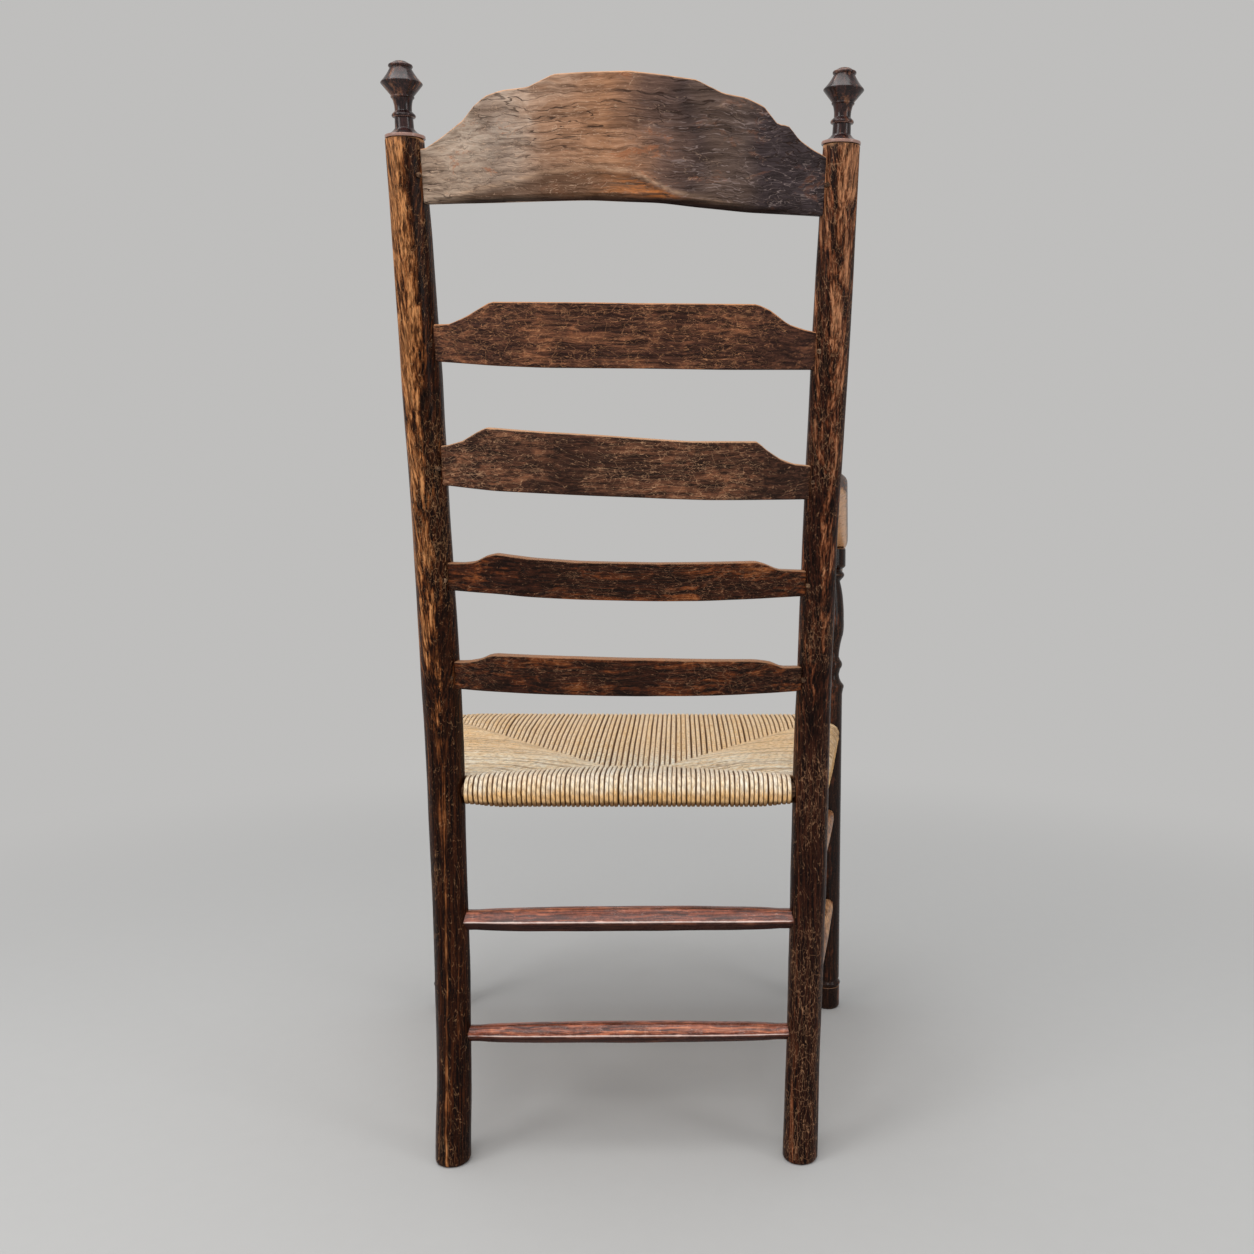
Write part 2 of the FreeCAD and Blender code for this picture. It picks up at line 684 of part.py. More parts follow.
def front_post_profile():
    ring_start = "dims.foot_length + 2 * dims.foot_groove"
    ring_end = ring_start + " + dims.foot_ring_length"
    top = arm_seat_level + " + dims.post_tenon_length"
    low_bead_edge = "dims.low_bead_dia / 2 - dims.bead_round"
    top_bead_edge = "dims.top_bead_dia / 2 - dims.bead_round"
    bead_bow = "-dims.bead_round"
    return [
        ("0", "0"),
        ("(dims.foot_dia - dims.post_edge_round) / 2", "0"),
        ("dims.foot_dia / 2", "dims.post_edge_round"),
        ("dims.foot_dia / 2", "dims.foot_length"),
        ("dims.foot_groove_dia / 2", "dims.foot_length + dims.foot_groove"),
        ("dims.foot_dia / 2", ring_start, "-dims.foot_ring_round"),
        ("dims.foot_dia / 2", ring_end, "dims.foot_ring_round"),
        ("dims.front_post_dia / 2", ring_end + " + dims.foot_taper"),
        ("dims.front_post_dia / 2",
         around("shoulder_height", "-", "shoulder_length") + " - dims.shoulder_taper"),
        ("dims.shoulder_dia / 2", around("shoulder_height", "-", "shoulder_length"),
         "-dims.shoulder_round"),
        ("dims.shoulder_dia / 2", around("shoulder_height", "+", "shoulder_length"),
         "dims.cove_hollow"),
        ("dims.cove_dia / 2", level("cove_rise")),
        (low_bead_edge, around("low_bead_rise", "-", "bead_length"), bead_bow),
        (low_bead_edge, around("low_bead_rise", "+", "bead_length")),
        ("dims.neck_dia / 2", level("neck_rise"), "dims.neck_hollow"),
        ("dims.vase_dia / 2", around("vase_rise", "-", "vase_length"), "-dims.vase_round"),
        ("dims.vase_dia / 2", around("vase_rise", "+", "vase_length"), "-dims.vase_swell"),
        ("dims.waist_dia / 2", level("waist_rise")),
        (top_bead_edge, around("top_bead_rise", "-", "bead_length"), bead_bow),
        (top_bead_edge, around("top_bead_rise", "+", "bead_length")),
        ("dims.waist_dia / 2", around("top_bead_rise", "+", "bead_length") + " + dims.cap_gap"),
        ("dims.cap_dia / 2", around("cap_rise", "-", "cap_length"), "-dims.cap_swell"),
        ("dims.cap_dia / 2", around("cap_rise", "+", "cap_length")),
        ("dims.post_top_dia / 2", around("cap_rise", "+", "cap_length")),
        ("dims.post_top_dia / 2", arm_seat_level),
        ("dims.post_tenon_dia / 2", arm_seat_level),
        ("dims.post_tenon_dia / 2", top),
        ("0", top),
    ]


def make_front_posts():
    for side, word in SIDES:
        label = "front_post_" + word
        body = turned(label + "_turning", front_post_profile())
        body.Placement.Base = front_axis(side, 0)
        cut(body, front_post_tools[side], label)


# Arms, sawn to a side shape and then to a plan shape

def arm_frame(side):
    """Origin on the front post's axis under the arm, X along the arm to the rear post."""
    front = front_axis(side, size(arm_seat_level))
    rear = rear_axis(side, size(arm_rear_level))
    underside = rear - Z_AXIS * size("dims.arm_thickness / 2")
    along = underside - front
    turn = math.degrees(math.atan2(along.y, along.x))
    climb = math.degrees(math.asin(along.z / along.Length))
    rotation = FreeCAD.Rotation(Z_AXIS, turn).multiply(FreeCAD.Rotation(Y_AXIS, -climb))
    return FreeCAD.Placement(front, rotation), along.Length


def arm_blank(body, label, shoulder):
    """The arm's side elevation: a long board whose front end turns down in a scroll."""
    front = "-dims.arm_overhang"
    scroll_back = front + " + dims.arm_scroll_thickness"
    tip = "-dims.arm_drop"
    side_shape = draw(sketch_in(body, "XZ_Plane", label + "_side"), [
        (scroll_back + " + dims.arm_scroll_fillet", "0", "-dims.arm_scroll_hollow"),
        (scroll_back, tip + " + dims.arm_thickness", "dims.arm_scroll_bow"),
        (front + " + dims.arm_tip_length", tip + " + dims.arm_tip_length", "-dims.arm_tip_round"),
        (front, tip + " + dims.arm_tip_length + dims.arm_tip_rise"),
        (front, "-dims.arm_thickness / 4", "-dims.arm_front_round"),
        (front + " + dims.arm_front_slope", "dims.arm_thickness"),
        (shoulder, "dims.arm_thickness"),
        (shoulder, "0"),
    ])
    doc.recompute()
    blank = body.newObject("PartDesign::Pad", label + "_blank")
    blank.Profile = side_shape
    blank.Midplane = True
    bind(blank, Length="dims.arm_width + 2 * dims.saw_clearance")
    doc.recompute()


def saw_arm_sides(body, label, shoulder):
    """The arm's plan: a narrower nose, full sides and a neck at the rear post."""
    over = "(dims.arm_width / 2 + 2 * dims.saw_clearance)"
    half = "(dims.arm_width / 2)"
    neck = "(dims.arm_neck_width / 2)"
    nose = "(%s - dims.arm_nose_taper)" % half
    front = "-dims.arm_overhang"
    for hand, sign, opposite in (("inner", "", "-"), ("outer", "-", "")):
        offcut = draw(sketch_in(body, "XY_Plane", "%s_%s_offcut" % (label, hand)), [
            (front + " - dims.saw_clearance", sign + over),
            (front + " - dims.saw_clearance", sign + nose),
            (front + " + dims.arm_nose_length", sign + nose, sign + "dims.arm_nose_round"),
            (front + " / 3", sign + half, opposite + "dims.arm_side_bow"),
            (shoulder + " - dims.arm_neck_length", sign + half, sign + "dims.arm_side_bow"),
            (shoulder, sign + neck),
            (shoulder + " + dims.saw_clearance", sign + neck),
            (shoulder + " + dims.saw_clearance", sign + over),
        ])
        doc.recompute()
        saw = body.newObject("PartDesign::Pocket", "%s_%s_saw" % (label, hand))
        saw.Profile = offcut
        saw.Type = "ThroughAll"
        saw.Midplane = True
        doc.recompute()


def make_arm(side, word):
    label = "arm_" + word
    frame, length = arm_frame(side)
    shoulder = "(%.6f - dims.rear_post_dia / 2 + dims.arm_cope_depth)" % length
    body = doc.addObject("PartDesign::Body", label + "_board")
    arm_blank(body, label, shoulder)
    saw_arm_sides(body, label, shoulder)
    body.Placement = frame
    bend = rear_axis(side, size("dims.bend_height"))
    joint = rear_axis(side, size(arm_rear_level))
    coped = doc.addObject("Part::Cut", label + "_coped")
    coped.Base = body
    coped.Tool = cylinder(label + "_cope", "dims.rear_post_dia / 2 + dims.joint_clearance",
                          "%.6f + 2 * dims.arm_thickness" % (joint - bend).Length,
                          between(bend, joint))
    start = FreeCAD.Vector(size("%.6f - dims.rear_post_dia / 2 - dims.arm_cope_depth" % length), 0,
                           size("dims.arm_thickness / 2"))
    lying = frame.multiply(FreeCAD.Placement(start, FreeCAD.Rotation(Z_AXIS, X_AXIS)))
    reach = "dims.arm_cope_depth + dims.arm_tenon_length"
    joined = doc.addObject("Part::Fuse", label + "_joined")
    joined.Base = coped
    joined.Tool = cylinder(label + "_tenon", "dims.arm_tenon_dia / 2", reach, lying)
    bore = cylinder(label + "_tenon_bore", "dims.arm_tenon_dia / 2 + dims.joint_clearance",
                    reach + " + dims.bottom_clearance", lying)
    rear_post_tools[side].append(bore)
    up = FreeCAD.Placement(front_axis(side, size(arm_seat_level + " - dims.arm_thickness")),
                           FreeCAD.Rotation())
    hole = cylinder(label + "_post_hole", "dims.post_tenon_dia / 2 + dims.joint_clearance",
                    "dims.arm_thickness + dims.post_tenon_length + dims.bottom_clearance", up)
    post_seat = cylinder(label + "_post_seat", "dims.post_top_dia / 2 + dims.joint_clearance",
                         "dims.arm_thickness", up)
    cut(joined, [hole, post_seat], label)


def make_arms():
    for side, word in SIDES:
        make_arm(side, word)


# The rush seat: a roll over each rail and a web between them

def rush_web():
    """The stuffed middle of the seat, a flat board from rail to rail."""
    rear_height = size("dims.rear_rail_height")
    front_height = size("dims.front_rail_height")
    corners = [rear_axis(LEFT, rear_height), rear_axis(RIGHT, rear_height),
               front_axis(RIGHT, front_height), front_axis(LEFT, front_height)]
    half_web = Z_AXIS * size("dims.rush_web")
    low = Part.makePolygon([point - half_web for point in corners + corners[:1]])
    high = Part.makePolygon([point + half_web for point in corners + corners[:1]])
    web = doc.addObject("Part::Feature", "rush_web")
    web.Shape = Part.makeLoft([low, high], True, True)
    return web


def post_spaces():
    """Room for the four posts at the seat's corners."""
    spaces = []
    for place, axis in (("rear", rear_axis), ("front", front_axis)):
        rail_height = size("dims.%s_rail_height" % place)
        reach = size("2 * dims.rail_dia")
        for side, word in SIDES:
            low_end = axis(side, rail_height - reach)
            high_end = axis(side, rail_height + reach)
            spaces.append(cylinder("rush_%s_%s_space" % (place, word),
                                   "dims.%s_post_dia / 2 + dims.rush_clearance" % place,
                                   "%.6f" % (high_end - low_end).Length, between(low_end, high_end)))
    return spaces


def make_rush_seat():
    rolls = []
    spaces = post_spaces()
    for index, (frame, length) in enumerate(rail_frames):
        rolls.append(cylinder("rush_roll_%d" % index, "dims.rail_dia / 2 + dims.rush_thickness",
                              "%.6f" % length, frame))
        spaces.append(cylinder("rush_rail_space_%d" % index, "dims.rail_dia / 2 + dims.rush_clearance",
                               "%.6f" % length, frame))
    whole = doc.addObject("Part::MultiFuse", "rush_whole")
    whole.Shapes = rolls + [rush_web()]
    cut(whole, spaces, "rush_seat")


# Checking and writing

def check_document():
    doc.recompute()
    for obj in doc.Objects:
        if "Invalid" in obj.State or "Error" in obj.State:
            raise RuntimeError("%s is %s" % (obj.Name, obj.State))
    for obj in sub_parts:
        if obj.Shape.isNull() or not obj.Shape.isValid():
            raise RuntimeError("%s has no valid shape" % obj.Label)


def write_parts():
    os.makedirs("parts", exist_ok=True)
    for obj in sub_parts:
        obj.Shape.exportStep("parts/%s.step" % obj.Label)
        box = obj.Shape.BoundBox
        print("%-28s %d solid(s) %10.1f mm3  z %.1f to %.1f"
              % (obj.Label, len(obj.Shape.Solids), obj.Shape.Volume, box.ZMin, box.ZMax))


make_rungs()
make_slats()
make_arms()
make_front_posts()
make_rear_posts()
make_finials()
make_rush_seat()
check_document()
write_parts()
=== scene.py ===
# Rush-seated ladderback armchair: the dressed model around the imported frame.
import math
import random

import bmesh
import bpy
from mathutils import Matrix, Vector, noise


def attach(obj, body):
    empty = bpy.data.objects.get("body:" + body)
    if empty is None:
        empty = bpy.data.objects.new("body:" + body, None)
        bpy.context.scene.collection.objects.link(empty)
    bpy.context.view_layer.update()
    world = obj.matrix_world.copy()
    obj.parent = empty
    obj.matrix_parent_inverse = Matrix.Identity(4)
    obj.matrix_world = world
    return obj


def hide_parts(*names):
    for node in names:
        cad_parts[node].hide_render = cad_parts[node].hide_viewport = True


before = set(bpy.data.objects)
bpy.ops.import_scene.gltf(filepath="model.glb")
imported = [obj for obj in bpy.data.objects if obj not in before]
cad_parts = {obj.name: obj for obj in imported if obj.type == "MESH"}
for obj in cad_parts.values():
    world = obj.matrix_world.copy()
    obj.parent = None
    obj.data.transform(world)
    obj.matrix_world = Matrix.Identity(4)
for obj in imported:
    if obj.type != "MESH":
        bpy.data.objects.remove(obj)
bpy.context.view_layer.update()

random.seed(11)
print("stage: frame loaded")


class Value:
    # one socket; arithmetic on it adds Math nodes
    def __init__(self, nodes, socket):
        self.nodes = nodes
        self.socket = socket

    def __add__(self, other):
        return self.nodes.maths("ADD", self, other)

    def __radd__(self, other):
        return self.nodes.maths("ADD", other, self)

    def __sub__(self, other):
        return self.nodes.maths("SUBTRACT", self, other)

    def __rsub__(self, other):
        return self.nodes.maths("SUBTRACT", other, self)

    def __mul__(self, other):
        return self.nodes.maths("MULTIPLY", self, other)

    def __abs__(self):
        return self.nodes.maths("ABSOLUTE", self)

    def clamp(self):
        return self.nodes.maths("ADD", self, 0.0, clamp=True)


class Nodes:
    # a node tree, and the one method that adds any node to it
    def __init__(self, tree):
        self.tree = tree
        tree.nodes.clear()

    def node(self, kind, settings=None, inputs=None, output=0):
        made = self.tree.nodes.new(kind)
        for key, value in (settings or {}).items():
            if key == "stops":
                ramp = made.color_ramp
                while len(ramp.elements) < len(value):
                    ramp.elements.new(1.0)
                for element, (position, colour) in zip(ramp.elements, value):
                    element.position = position
                    element.color = (*colour, 1.0)
            else:
                setattr(made, key, value)
        for key, value in (inputs or {}).items():
            self.feed(made.inputs[key], value)
        return Value(self, made.outputs[output]) if made.outputs else made

    def feed(self, socket, value):
        if isinstance(value, Value):
            self.tree.links.new(value.socket, socket)
        elif isinstance(value, tuple) and len(value) == 3 and socket.type == "RGBA":
            socket.default_value = (*value, 1.0)
        else:
            socket.default_value = value

    def maths(self, operation, *values, clamp=False):
        settings = {"operation": operation, "use_clamp": clamp}
        return self.node("ShaderNodeMath", settings, dict(enumerate(values)))

    def seen(self):
        # camera and glossy rays, which meet the plain backdrop
        camera = self.node("ShaderNodeLightPath", output="Is Camera Ray")
        glossy = self.node("ShaderNodeLightPath", output="Is Glossy Ray")
        return (camera + glossy).clamp()


class Finish(Nodes):
    # a material, and the few patterns that every finish here is drawn with
    def __init__(self, name):
        self.material = bpy.data.materials.new(name)
        self.material.use_nodes = True
        super().__init__(self.material.node_tree)
        self.shader = self.tree.nodes.new("ShaderNodeBsdfPrincipled")
        self.lit = Value(self, self.shader.outputs[0])
        self.output = self.node("ShaderNodeOutputMaterial", None, {"Surface": self.lit})
        self.place = self.node("ShaderNodeTexCoord", output="Object")
        self.colour = None

    def mix(self, factor, first, second, how="MIX"):
        settings = {"data_type": "RGBA", "blend_type": how}
        return self.node("ShaderNodeMix", settings, {0: factor, 6: first, 7: second}, 2)

    def paint(self, mask, colour):
        # one more coat over the colour so far
        self.colour = self.mix(mask, self.colour, colour)

    def mapped(self, where, scale=(1, 1, 1), shift=(0, 0, 0)):
        return self.node("ShaderNodeMapping", None,
                         {"Vector": where, "Scale": scale, "Location": shift})

    def drawnOut(self, where, stretch, tilt=0):
        return self.node("ShaderNodeMapping", {"vector_type": "TEXTURE"},
                         {"Vector": where, "Rotation": (0, tilt, 0), "Scale": stretch})

    def warped(self, where, scale, amount):
        # the place pushed about by a slow cloud, so that straight grain wanders
        cloud = self.node("ShaderNodeTexNoise", None,
                          {"Vector": where, "Scale": scale, "Detail": 2.0}, "Color")
        level = self.node("ShaderNodeVectorMath", {"operation": "SUBTRACT"},
                          {0: cloud, 1: (0.5, 0.5, 0.5)})
        push = self.node("ShaderNodeVectorMath", {"operation": "SCALE"},
                         {0: level, "Scale": amount})
        return self.node("ShaderNodeVectorMath", {"operation": "ADD"}, {0: where, 1: push})

    def cloud(self, where, scale, detail=3.0, rough=0.55, bend=0.0):
        return self.node("ShaderNodeTexNoise", None,
                         {"Vector": where, "Scale": scale, "Detail": detail,
                          "Roughness": rough, "Distortion": bend}, "Fac")

    def strokes(self, where, stretch, tilt, scale, width):
        # thin lines where a cloud crosses its middle value, drawn out into long scratches
        level = abs(self.cloud(self.drawnOut(where, stretch, tilt), scale, 2.0, 0.5) - 0.5)
        return self.step(level, width, width * 0.25)

    def crazing(self, where, stretch, scale, width):
        # a net of hairlines, drawn out along the grain
        edge = self.node("ShaderNodeTexVoronoi", {"feature": "DISTANCE_TO_EDGE"},
                         {"Vector": self.drawnOut(where, stretch), "Scale": scale}, "Distance")
        return self.step(edge, width, width * 0.3)

    def step(self, value, low, high, start=0.0, end=1.0):
        return self.node("ShaderNodeMapRange", {"interpolation_type": "SMOOTHSTEP"},
                         {"Value": value, "From Min": low, "From Max": high,
                          "To Min": start, "To Max": end})

    def ramp(self, value, stops):
        return self.node("ShaderNodeValToRGB", {"stops": stops}, {0: value}, "Color")

    def axis(self, name, where=None):
        return self.node("ShaderNodeSeparateXYZ", None, {0: where or self.place}, name)

    def spot(self, x, y, z):
        return self.node("ShaderNodeCombineXYZ", None, {"X": x, "Y": y, "Z": z})

    def attribute(self, name):
        return self.node("ShaderNodeAttribute", {"attribute_name": name}, None, "Fac")

    def bumped(self, height, strength, distance):
        return self.node("ShaderNodeBump", None,
                         {"Height": height, "Strength": strength, "Distance": distance}, "Normal")

    def surface(self, **inputs):
        words = {"colour": "Base Color", "roughness": "Roughness", "normal": "Normal",
                 "coat": "Coat Weight", "coatRoughness": "Coat Roughness",
                 "gloss": "Specular IOR Level"}
        for key, value in {"colour": self.colour, **inputs}.items():
            self.feed(self.shader.inputs[words[key]], value)
        return self.material


# wood finishes: how fine each pattern is across the grain, and the bands' scale along it
grainScales = {"wander": 26, "lines": 340, "fine": 560, "pits": 460, "blotches": 52, "patches": 9,
               "specks": 430, "crazing": 135}
bandLength = {"X": 0.012, "Y": 0.012, "Z": 0.010}


def along(grain, amount):
    # a scale that changes one axis, the way the grain runs
    return tuple(amount if name == grain else 1 for name in "XYZ")


def agedWood(name, grain, dark, brown, worn, glow, tan, wear=0.0, scratches=0.5, rough=0.42,
             coat=0.02, gloss=0.10, shade=None, edgeTan=0.9, shift=(0, 0, 0), wander=0.008,
             relief=0.4, bandScale=90, mottle=0.4, pitted=0.5, soft=0.0, streaky=0.35,
             pale=None):
    # blackened old finish rubbed through in streaks to orange-brown wood, finely scratched
    wood = Finish(name)
    here = wood.mapped(wood.place, shift=shift)
    wavy = wood.warped(here, grainScales["wander"], wander)
    grained = wood.mapped(wavy, along(grain, 0.05))
    banded = wood.mapped(wavy, along(grain, bandLength[grain]))
    lines = wood.cloud(grained, grainScales["lines"], 4, 0.65)
    bands = wood.cloud(banded, bandScale, 3, 0.6)
    blotches = wood.cloud(here, grainScales["blotches"], 6, 0.66, 0.6)
    patches = wood.cloud(here, grainScales["patches"], 2, 0.5)
    specks = wood.cloud(here, grainScales["specks"], 2, 0.6)
    rubbed = (bands * ((1 - mottle) * 0.62) + lines * ((1 - mottle) * 0.38)
              + blotches * (mottle * 0.65) + patches * (mottle * 0.35))
    if shade is not None:
        rubbed = rubbed + shade(wood)
    bare = wood.step(rubbed, 0.495 - wear - soft, 0.555 - wear + soft)
    bright = wood.step(rubbed + (specks - 0.5) * 0.05,
                       0.540 - wear - soft / 2, 0.600 - wear + soft)
    wood.colour = wood.mix(wood.step(lines * 0.8 + specks * 0.2, 0.40, 0.60), dark, brown)
    wood.paint(bare * wood.step(lines, 0.36, 0.58, 0.25, 1.0), worn)
    wood.paint(bright * wood.step(lines, 0.42, 0.60, 0.10, 0.95), glow)
    fine = wood.cloud(banded, grainScales["fine"], 2, 0.7)
    wood.colour = wood.mix(streaky, wood.colour, wood.step(fine, 0.40, 0.58, 0.18, 1.0),
                           "MULTIPLY")
    # scratches both ways and along the grain, and the crackled polish between them
    stretch = along(grain, 7)
    thin = wood.warped(here, 90, 0.004)
    marks = (wood.strokes(thin, stretch, 0.30, 200, 0.011) * wood.step(blotches, 0.50, 0.58)
             + wood.strokes(thin, stretch, -0.42, 230, 0.010) * wood.step(blotches, 0.49, 0.42)
             + wood.strokes(wavy, stretch, 0.03, 260, 0.012) * wood.step(patches, 0.44, 0.54)
             + wood.crazing(wood.warped(here, 60, 0.014), along(grain, 2.6),
                            grainScales["crazing"], 0.030)
             * wood.step(patches + (blotches - 0.5) * 0.6, 0.46, 0.60) * 0.5)
    marks = (marks * scratches).clamp() * wood.step(specks, 0.24, 0.46)
    wood.paint(marks, tan)
    pits = wood.step(wood.cloud(grained, grainScales["pits"], 2, 0.5), 0.58, 0.66)
    wood.paint(pits * pitted, tuple(value * 0.35 for value in dark))
    # tan on worn edges; along the slats' and crest's top edges it is also a painted highlight
    edges = wood.step(wood.attribute("edgeWear") + (blotches - 0.5) * 0.9, 0.40, 0.80)
    wood.paint(edges * edgeTan, tan)
    # painted shade: undersides, and ends where pieces run into others, are darkened
    underside = wood.attribute("underside")
    wood.paint(underside * 0.92, tuple(value * 0.2 for value in dark))
    if pale:
        # below, where no stain was put on
        bareWood = wood.mix(wood.step(lines * 0.6 + blotches * 0.4, 0.38, 0.62), *pale)
        wood.paint(wood.attribute("pale") * 0.95, bareWood)
    # and the coat is left off where the shade is painted
    if coat > 0.1:
        coat = (1 - underside) * coat
    roughness = (rough + (blotches - 0.5) * 0.5 + (lines - 0.5) * 0.3).clamp()
    height = lines * 0.5 + blotches * 0.7 - marks * 0.2 - pits * 0.5
    return wood.surface(roughness=roughness, coat=coat, coatRoughness=0.14, gloss=gloss,
                        normal=wood.bumped(height, relief, 0.0012))


def facetPlane(wood, height):
    # single facets lighter or darker than the rest, more so towards the top
    return (wood.attribute("facetTone") - 0.5) * wood.step(height, 0.45, 0.95, 0.03, 0.10)


def leftPostShade(wood):
    # the outer half is rubbed orange from the arm up, the inner half stays black
    height = wood.axis("Z")
    across = wood.axis("X") - height * 0.0147 - 0.1857
    side = wood.step(across, -0.010, 0.004, -0.085, 0.042)
    return (side * wood.step(height, 0.30, 0.66, 0.10, 1.0) + facetPlane(wood, height)
            + wood.step(height, 0.2, 0.75, -0.070, 0.0)
            + wood.step(height, 0.70, 0.98, 0.0, 0.070))


def rightPostShade(wood):
    # a rubbed band up the middle, paler towards the top
    height = wood.axis("Z")
    across = wood.axis("X") + height * 0.0147 + 0.1957
    band = wood.step(abs(across + 0.004), 0.002, 0.014, 0.035, -0.050)
    return (band * wood.step(height, 0.45, 0.85, 0.2, 1.0) + facetPlane(wood, height)
            + wood.step(height, 0.2, 0.75, -0.065, -0.012)
            + wood.step(height, 0.72, 0.98, 0.0, 0.070))


rearPostWear = dict(grain="Z", rough=0.34, mottle=0.14, soft=0.022, streaky=0.70, wander=0.004,
                    gloss=0.06)
slatWear = dict(grain="X", rough=0.46, pitted=0.3, soft=0.020, streaky=0.5, edgeTan=0.8)
woods = {
    "leftPost": dict(
        dark=(0.008, 0.0025, 0.0015), brown=(0.050, 0.013, 0.004), worn=(0.25, 0.076, 0.020),
        glow=(0.62, 0.27, 0.10), tan=(0.62, 0.32, 0.15), scratches=0.35, shade=leftPostShade,
        **rearPostWear),
    "rightPost": dict(
        dark=(0.009, 0.003, 0.002), brown=(0.046, 0.013, 0.006), worn=(0.20, 0.056, 0.020),
        glow=(0.50, 0.22, 0.105), tan=(0.56, 0.29, 0.15), scratches=0.40, shade=rightPostShade,
        shift=(0.4, 0.1, 0.3), **rearPostWear),
    "slat": dict(
        dark=(0.026, 0.011, 0.007), brown=(0.072, 0.029, 0.017), worn=(0.150, 0.058, 0.030),
        glow=(0.27, 0.108, 0.052), tan=(0.60, 0.33, 0.18), scratches=0.50, mottle=0.55,
        **slatWear),
    "warmSlat": dict(
        dark=(0.026, 0.010, 0.007), brown=(0.080, 0.031, 0.019), worn=(0.150, 0.057, 0.030),
        glow=(0.29, 0.108, 0.048), tan=(0.60, 0.28, 0.13), scratches=0.42, mottle=0.5,
        shift=(0.7, 0.2, 0.4), **slatWear),
    "lowSlat": dict(
        grain="X", dark=(0.012, 0.004, 0.002), brown=(0.045, 0.013, 0.006),
        worn=(0.140, 0.034, 0.009), glow=(0.30, 0.095, 0.026), tan=(0.46, 0.23, 0.12),
        wear=-0.014, scratches=0.35, rough=0.34, mottle=0.45, soft=0.012, streaky=0.5,
        edgeTan=0.6, shift=(0.2, 0.5, 0.1)),
    "stretcher": dict(
        grain="X", dark=(0.085, 0.024, 0.016), brown=(0.30, 0.080, 0.040),
        worn=(0.54, 0.165, 0.080), glow=(0.70, 0.27, 0.13), tan=(0.88, 0.68, 0.60),
        scratches=0.15, rough=0.30, coat=0.38, gloss=0.14, relief=0.15, bandScale=120,
        soft=0.02, edgeTan=0.8),
    "sideStretcher": dict(
        grain="Y", dark=(0.16, 0.060, 0.025), brown=(0.46, 0.20, 0.085),
        worn=(0.58, 0.29, 0.135), glow=(0.72, 0.40, 0.20), tan=(0.70, 0.42, 0.24), wear=0.04,
        scratches=0.1, rough=0.36, relief=0.3, streaky=0.5),
    "arm": dict(
        grain="Y", dark=(0.030, 0.012, 0.007), brown=(0.115, 0.045, 0.021),
        worn=(0.26, 0.105, 0.045), glow=(0.48, 0.23, 0.105), tan=(0.62, 0.36, 0.20),
        wear=0.012, scratches=0.25, rough=0.34, coat=0.12, mottle=0.3, soft=0.02, streaky=0.5,
        relief=0.3, pale=((0.62, 0.31, 0.135), (0.88, 0.51, 0.27))),
    "frontPost": dict(
        grain="Z", dark=(0.008, 0.003, 0.002), brown=(0.028, 0.009, 0.004),
        worn=(0.10, 0.027, 0.010), glow=(0.26, 0.085, 0.030), tan=(0.48, 0.24, 0.12),
        wear=-0.02, scratches=0.1, rough=0.26, coat=0.15, relief=0.25, edgeTan=0.35,
        shift=(0.1, 0.3, 0.2)),
    "finial": dict(
        grain="Z", dark=(0.012, 0.005, 0.005), brown=(0.050, 0.020, 0.018),
        worn=(0.14, 0.052, 0.028), glow=(0.26, 0.12, 0.06), tan=(0.52, 0.31, 0.25), wear=-0.01,
        scratches=0.0, rough=0.24, coat=0.25, gloss=0.22, edgeTan=0.6, relief=0.04, mottle=0.2),
    "rail": dict(
        grain="X", dark=(0.05, 0.025, 0.014), brown=(0.20, 0.10, 0.05), worn=(0.34, 0.19, 0.10),
        glow=(0.42, 0.25, 0.14), tan=(0.5, 0.3, 0.18), scratches=0.2, rough=0.6),
    "peg": dict(
        grain="Y", dark=(0.030, 0.014, 0.008), brown=(0.10, 0.050, 0.026),
        worn=(0.22, 0.12, 0.065), glow=(0.36, 0.22, 0.13), tan=(0.50, 0.33, 0.22),
        scratches=0.2, rough=0.5, edgeTan=0.0),
}
finishes = {key: agedWood(key + "Wood", **words) for key, words in woods.items()}

# the crest's colours along its length, from the sitter's right end, and across its grain
crestColours = [
    (0.00, (0.058, 0.042, 0.045)), (0.17, (0.064, 0.044, 0.046)), (0.22, (0.14, 0.093, 0.076)),
    (0.29, (0.155, 0.10, 0.078)), (0.33, (0.088, 0.055, 0.048)), (0.42, (0.22, 0.125, 0.092)),
    (0.52, (0.49, 0.245, 0.130)), (0.66, (0.48, 0.27, 0.165)), (0.74, (0.58, 0.42, 0.32)),
    (0.80, (0.34, 0.235, 0.175)), (0.87, (0.53, 0.385, 0.285)), (1.00, (0.47, 0.34, 0.25))]
crestGrain = [(0.36, (0.24, 0.21, 0.19)), (0.46, (0.50, 0.47, 0.45)),
              (0.53, (0.74, 0.72, 0.70)), (0.62, (1, 1, 1))]


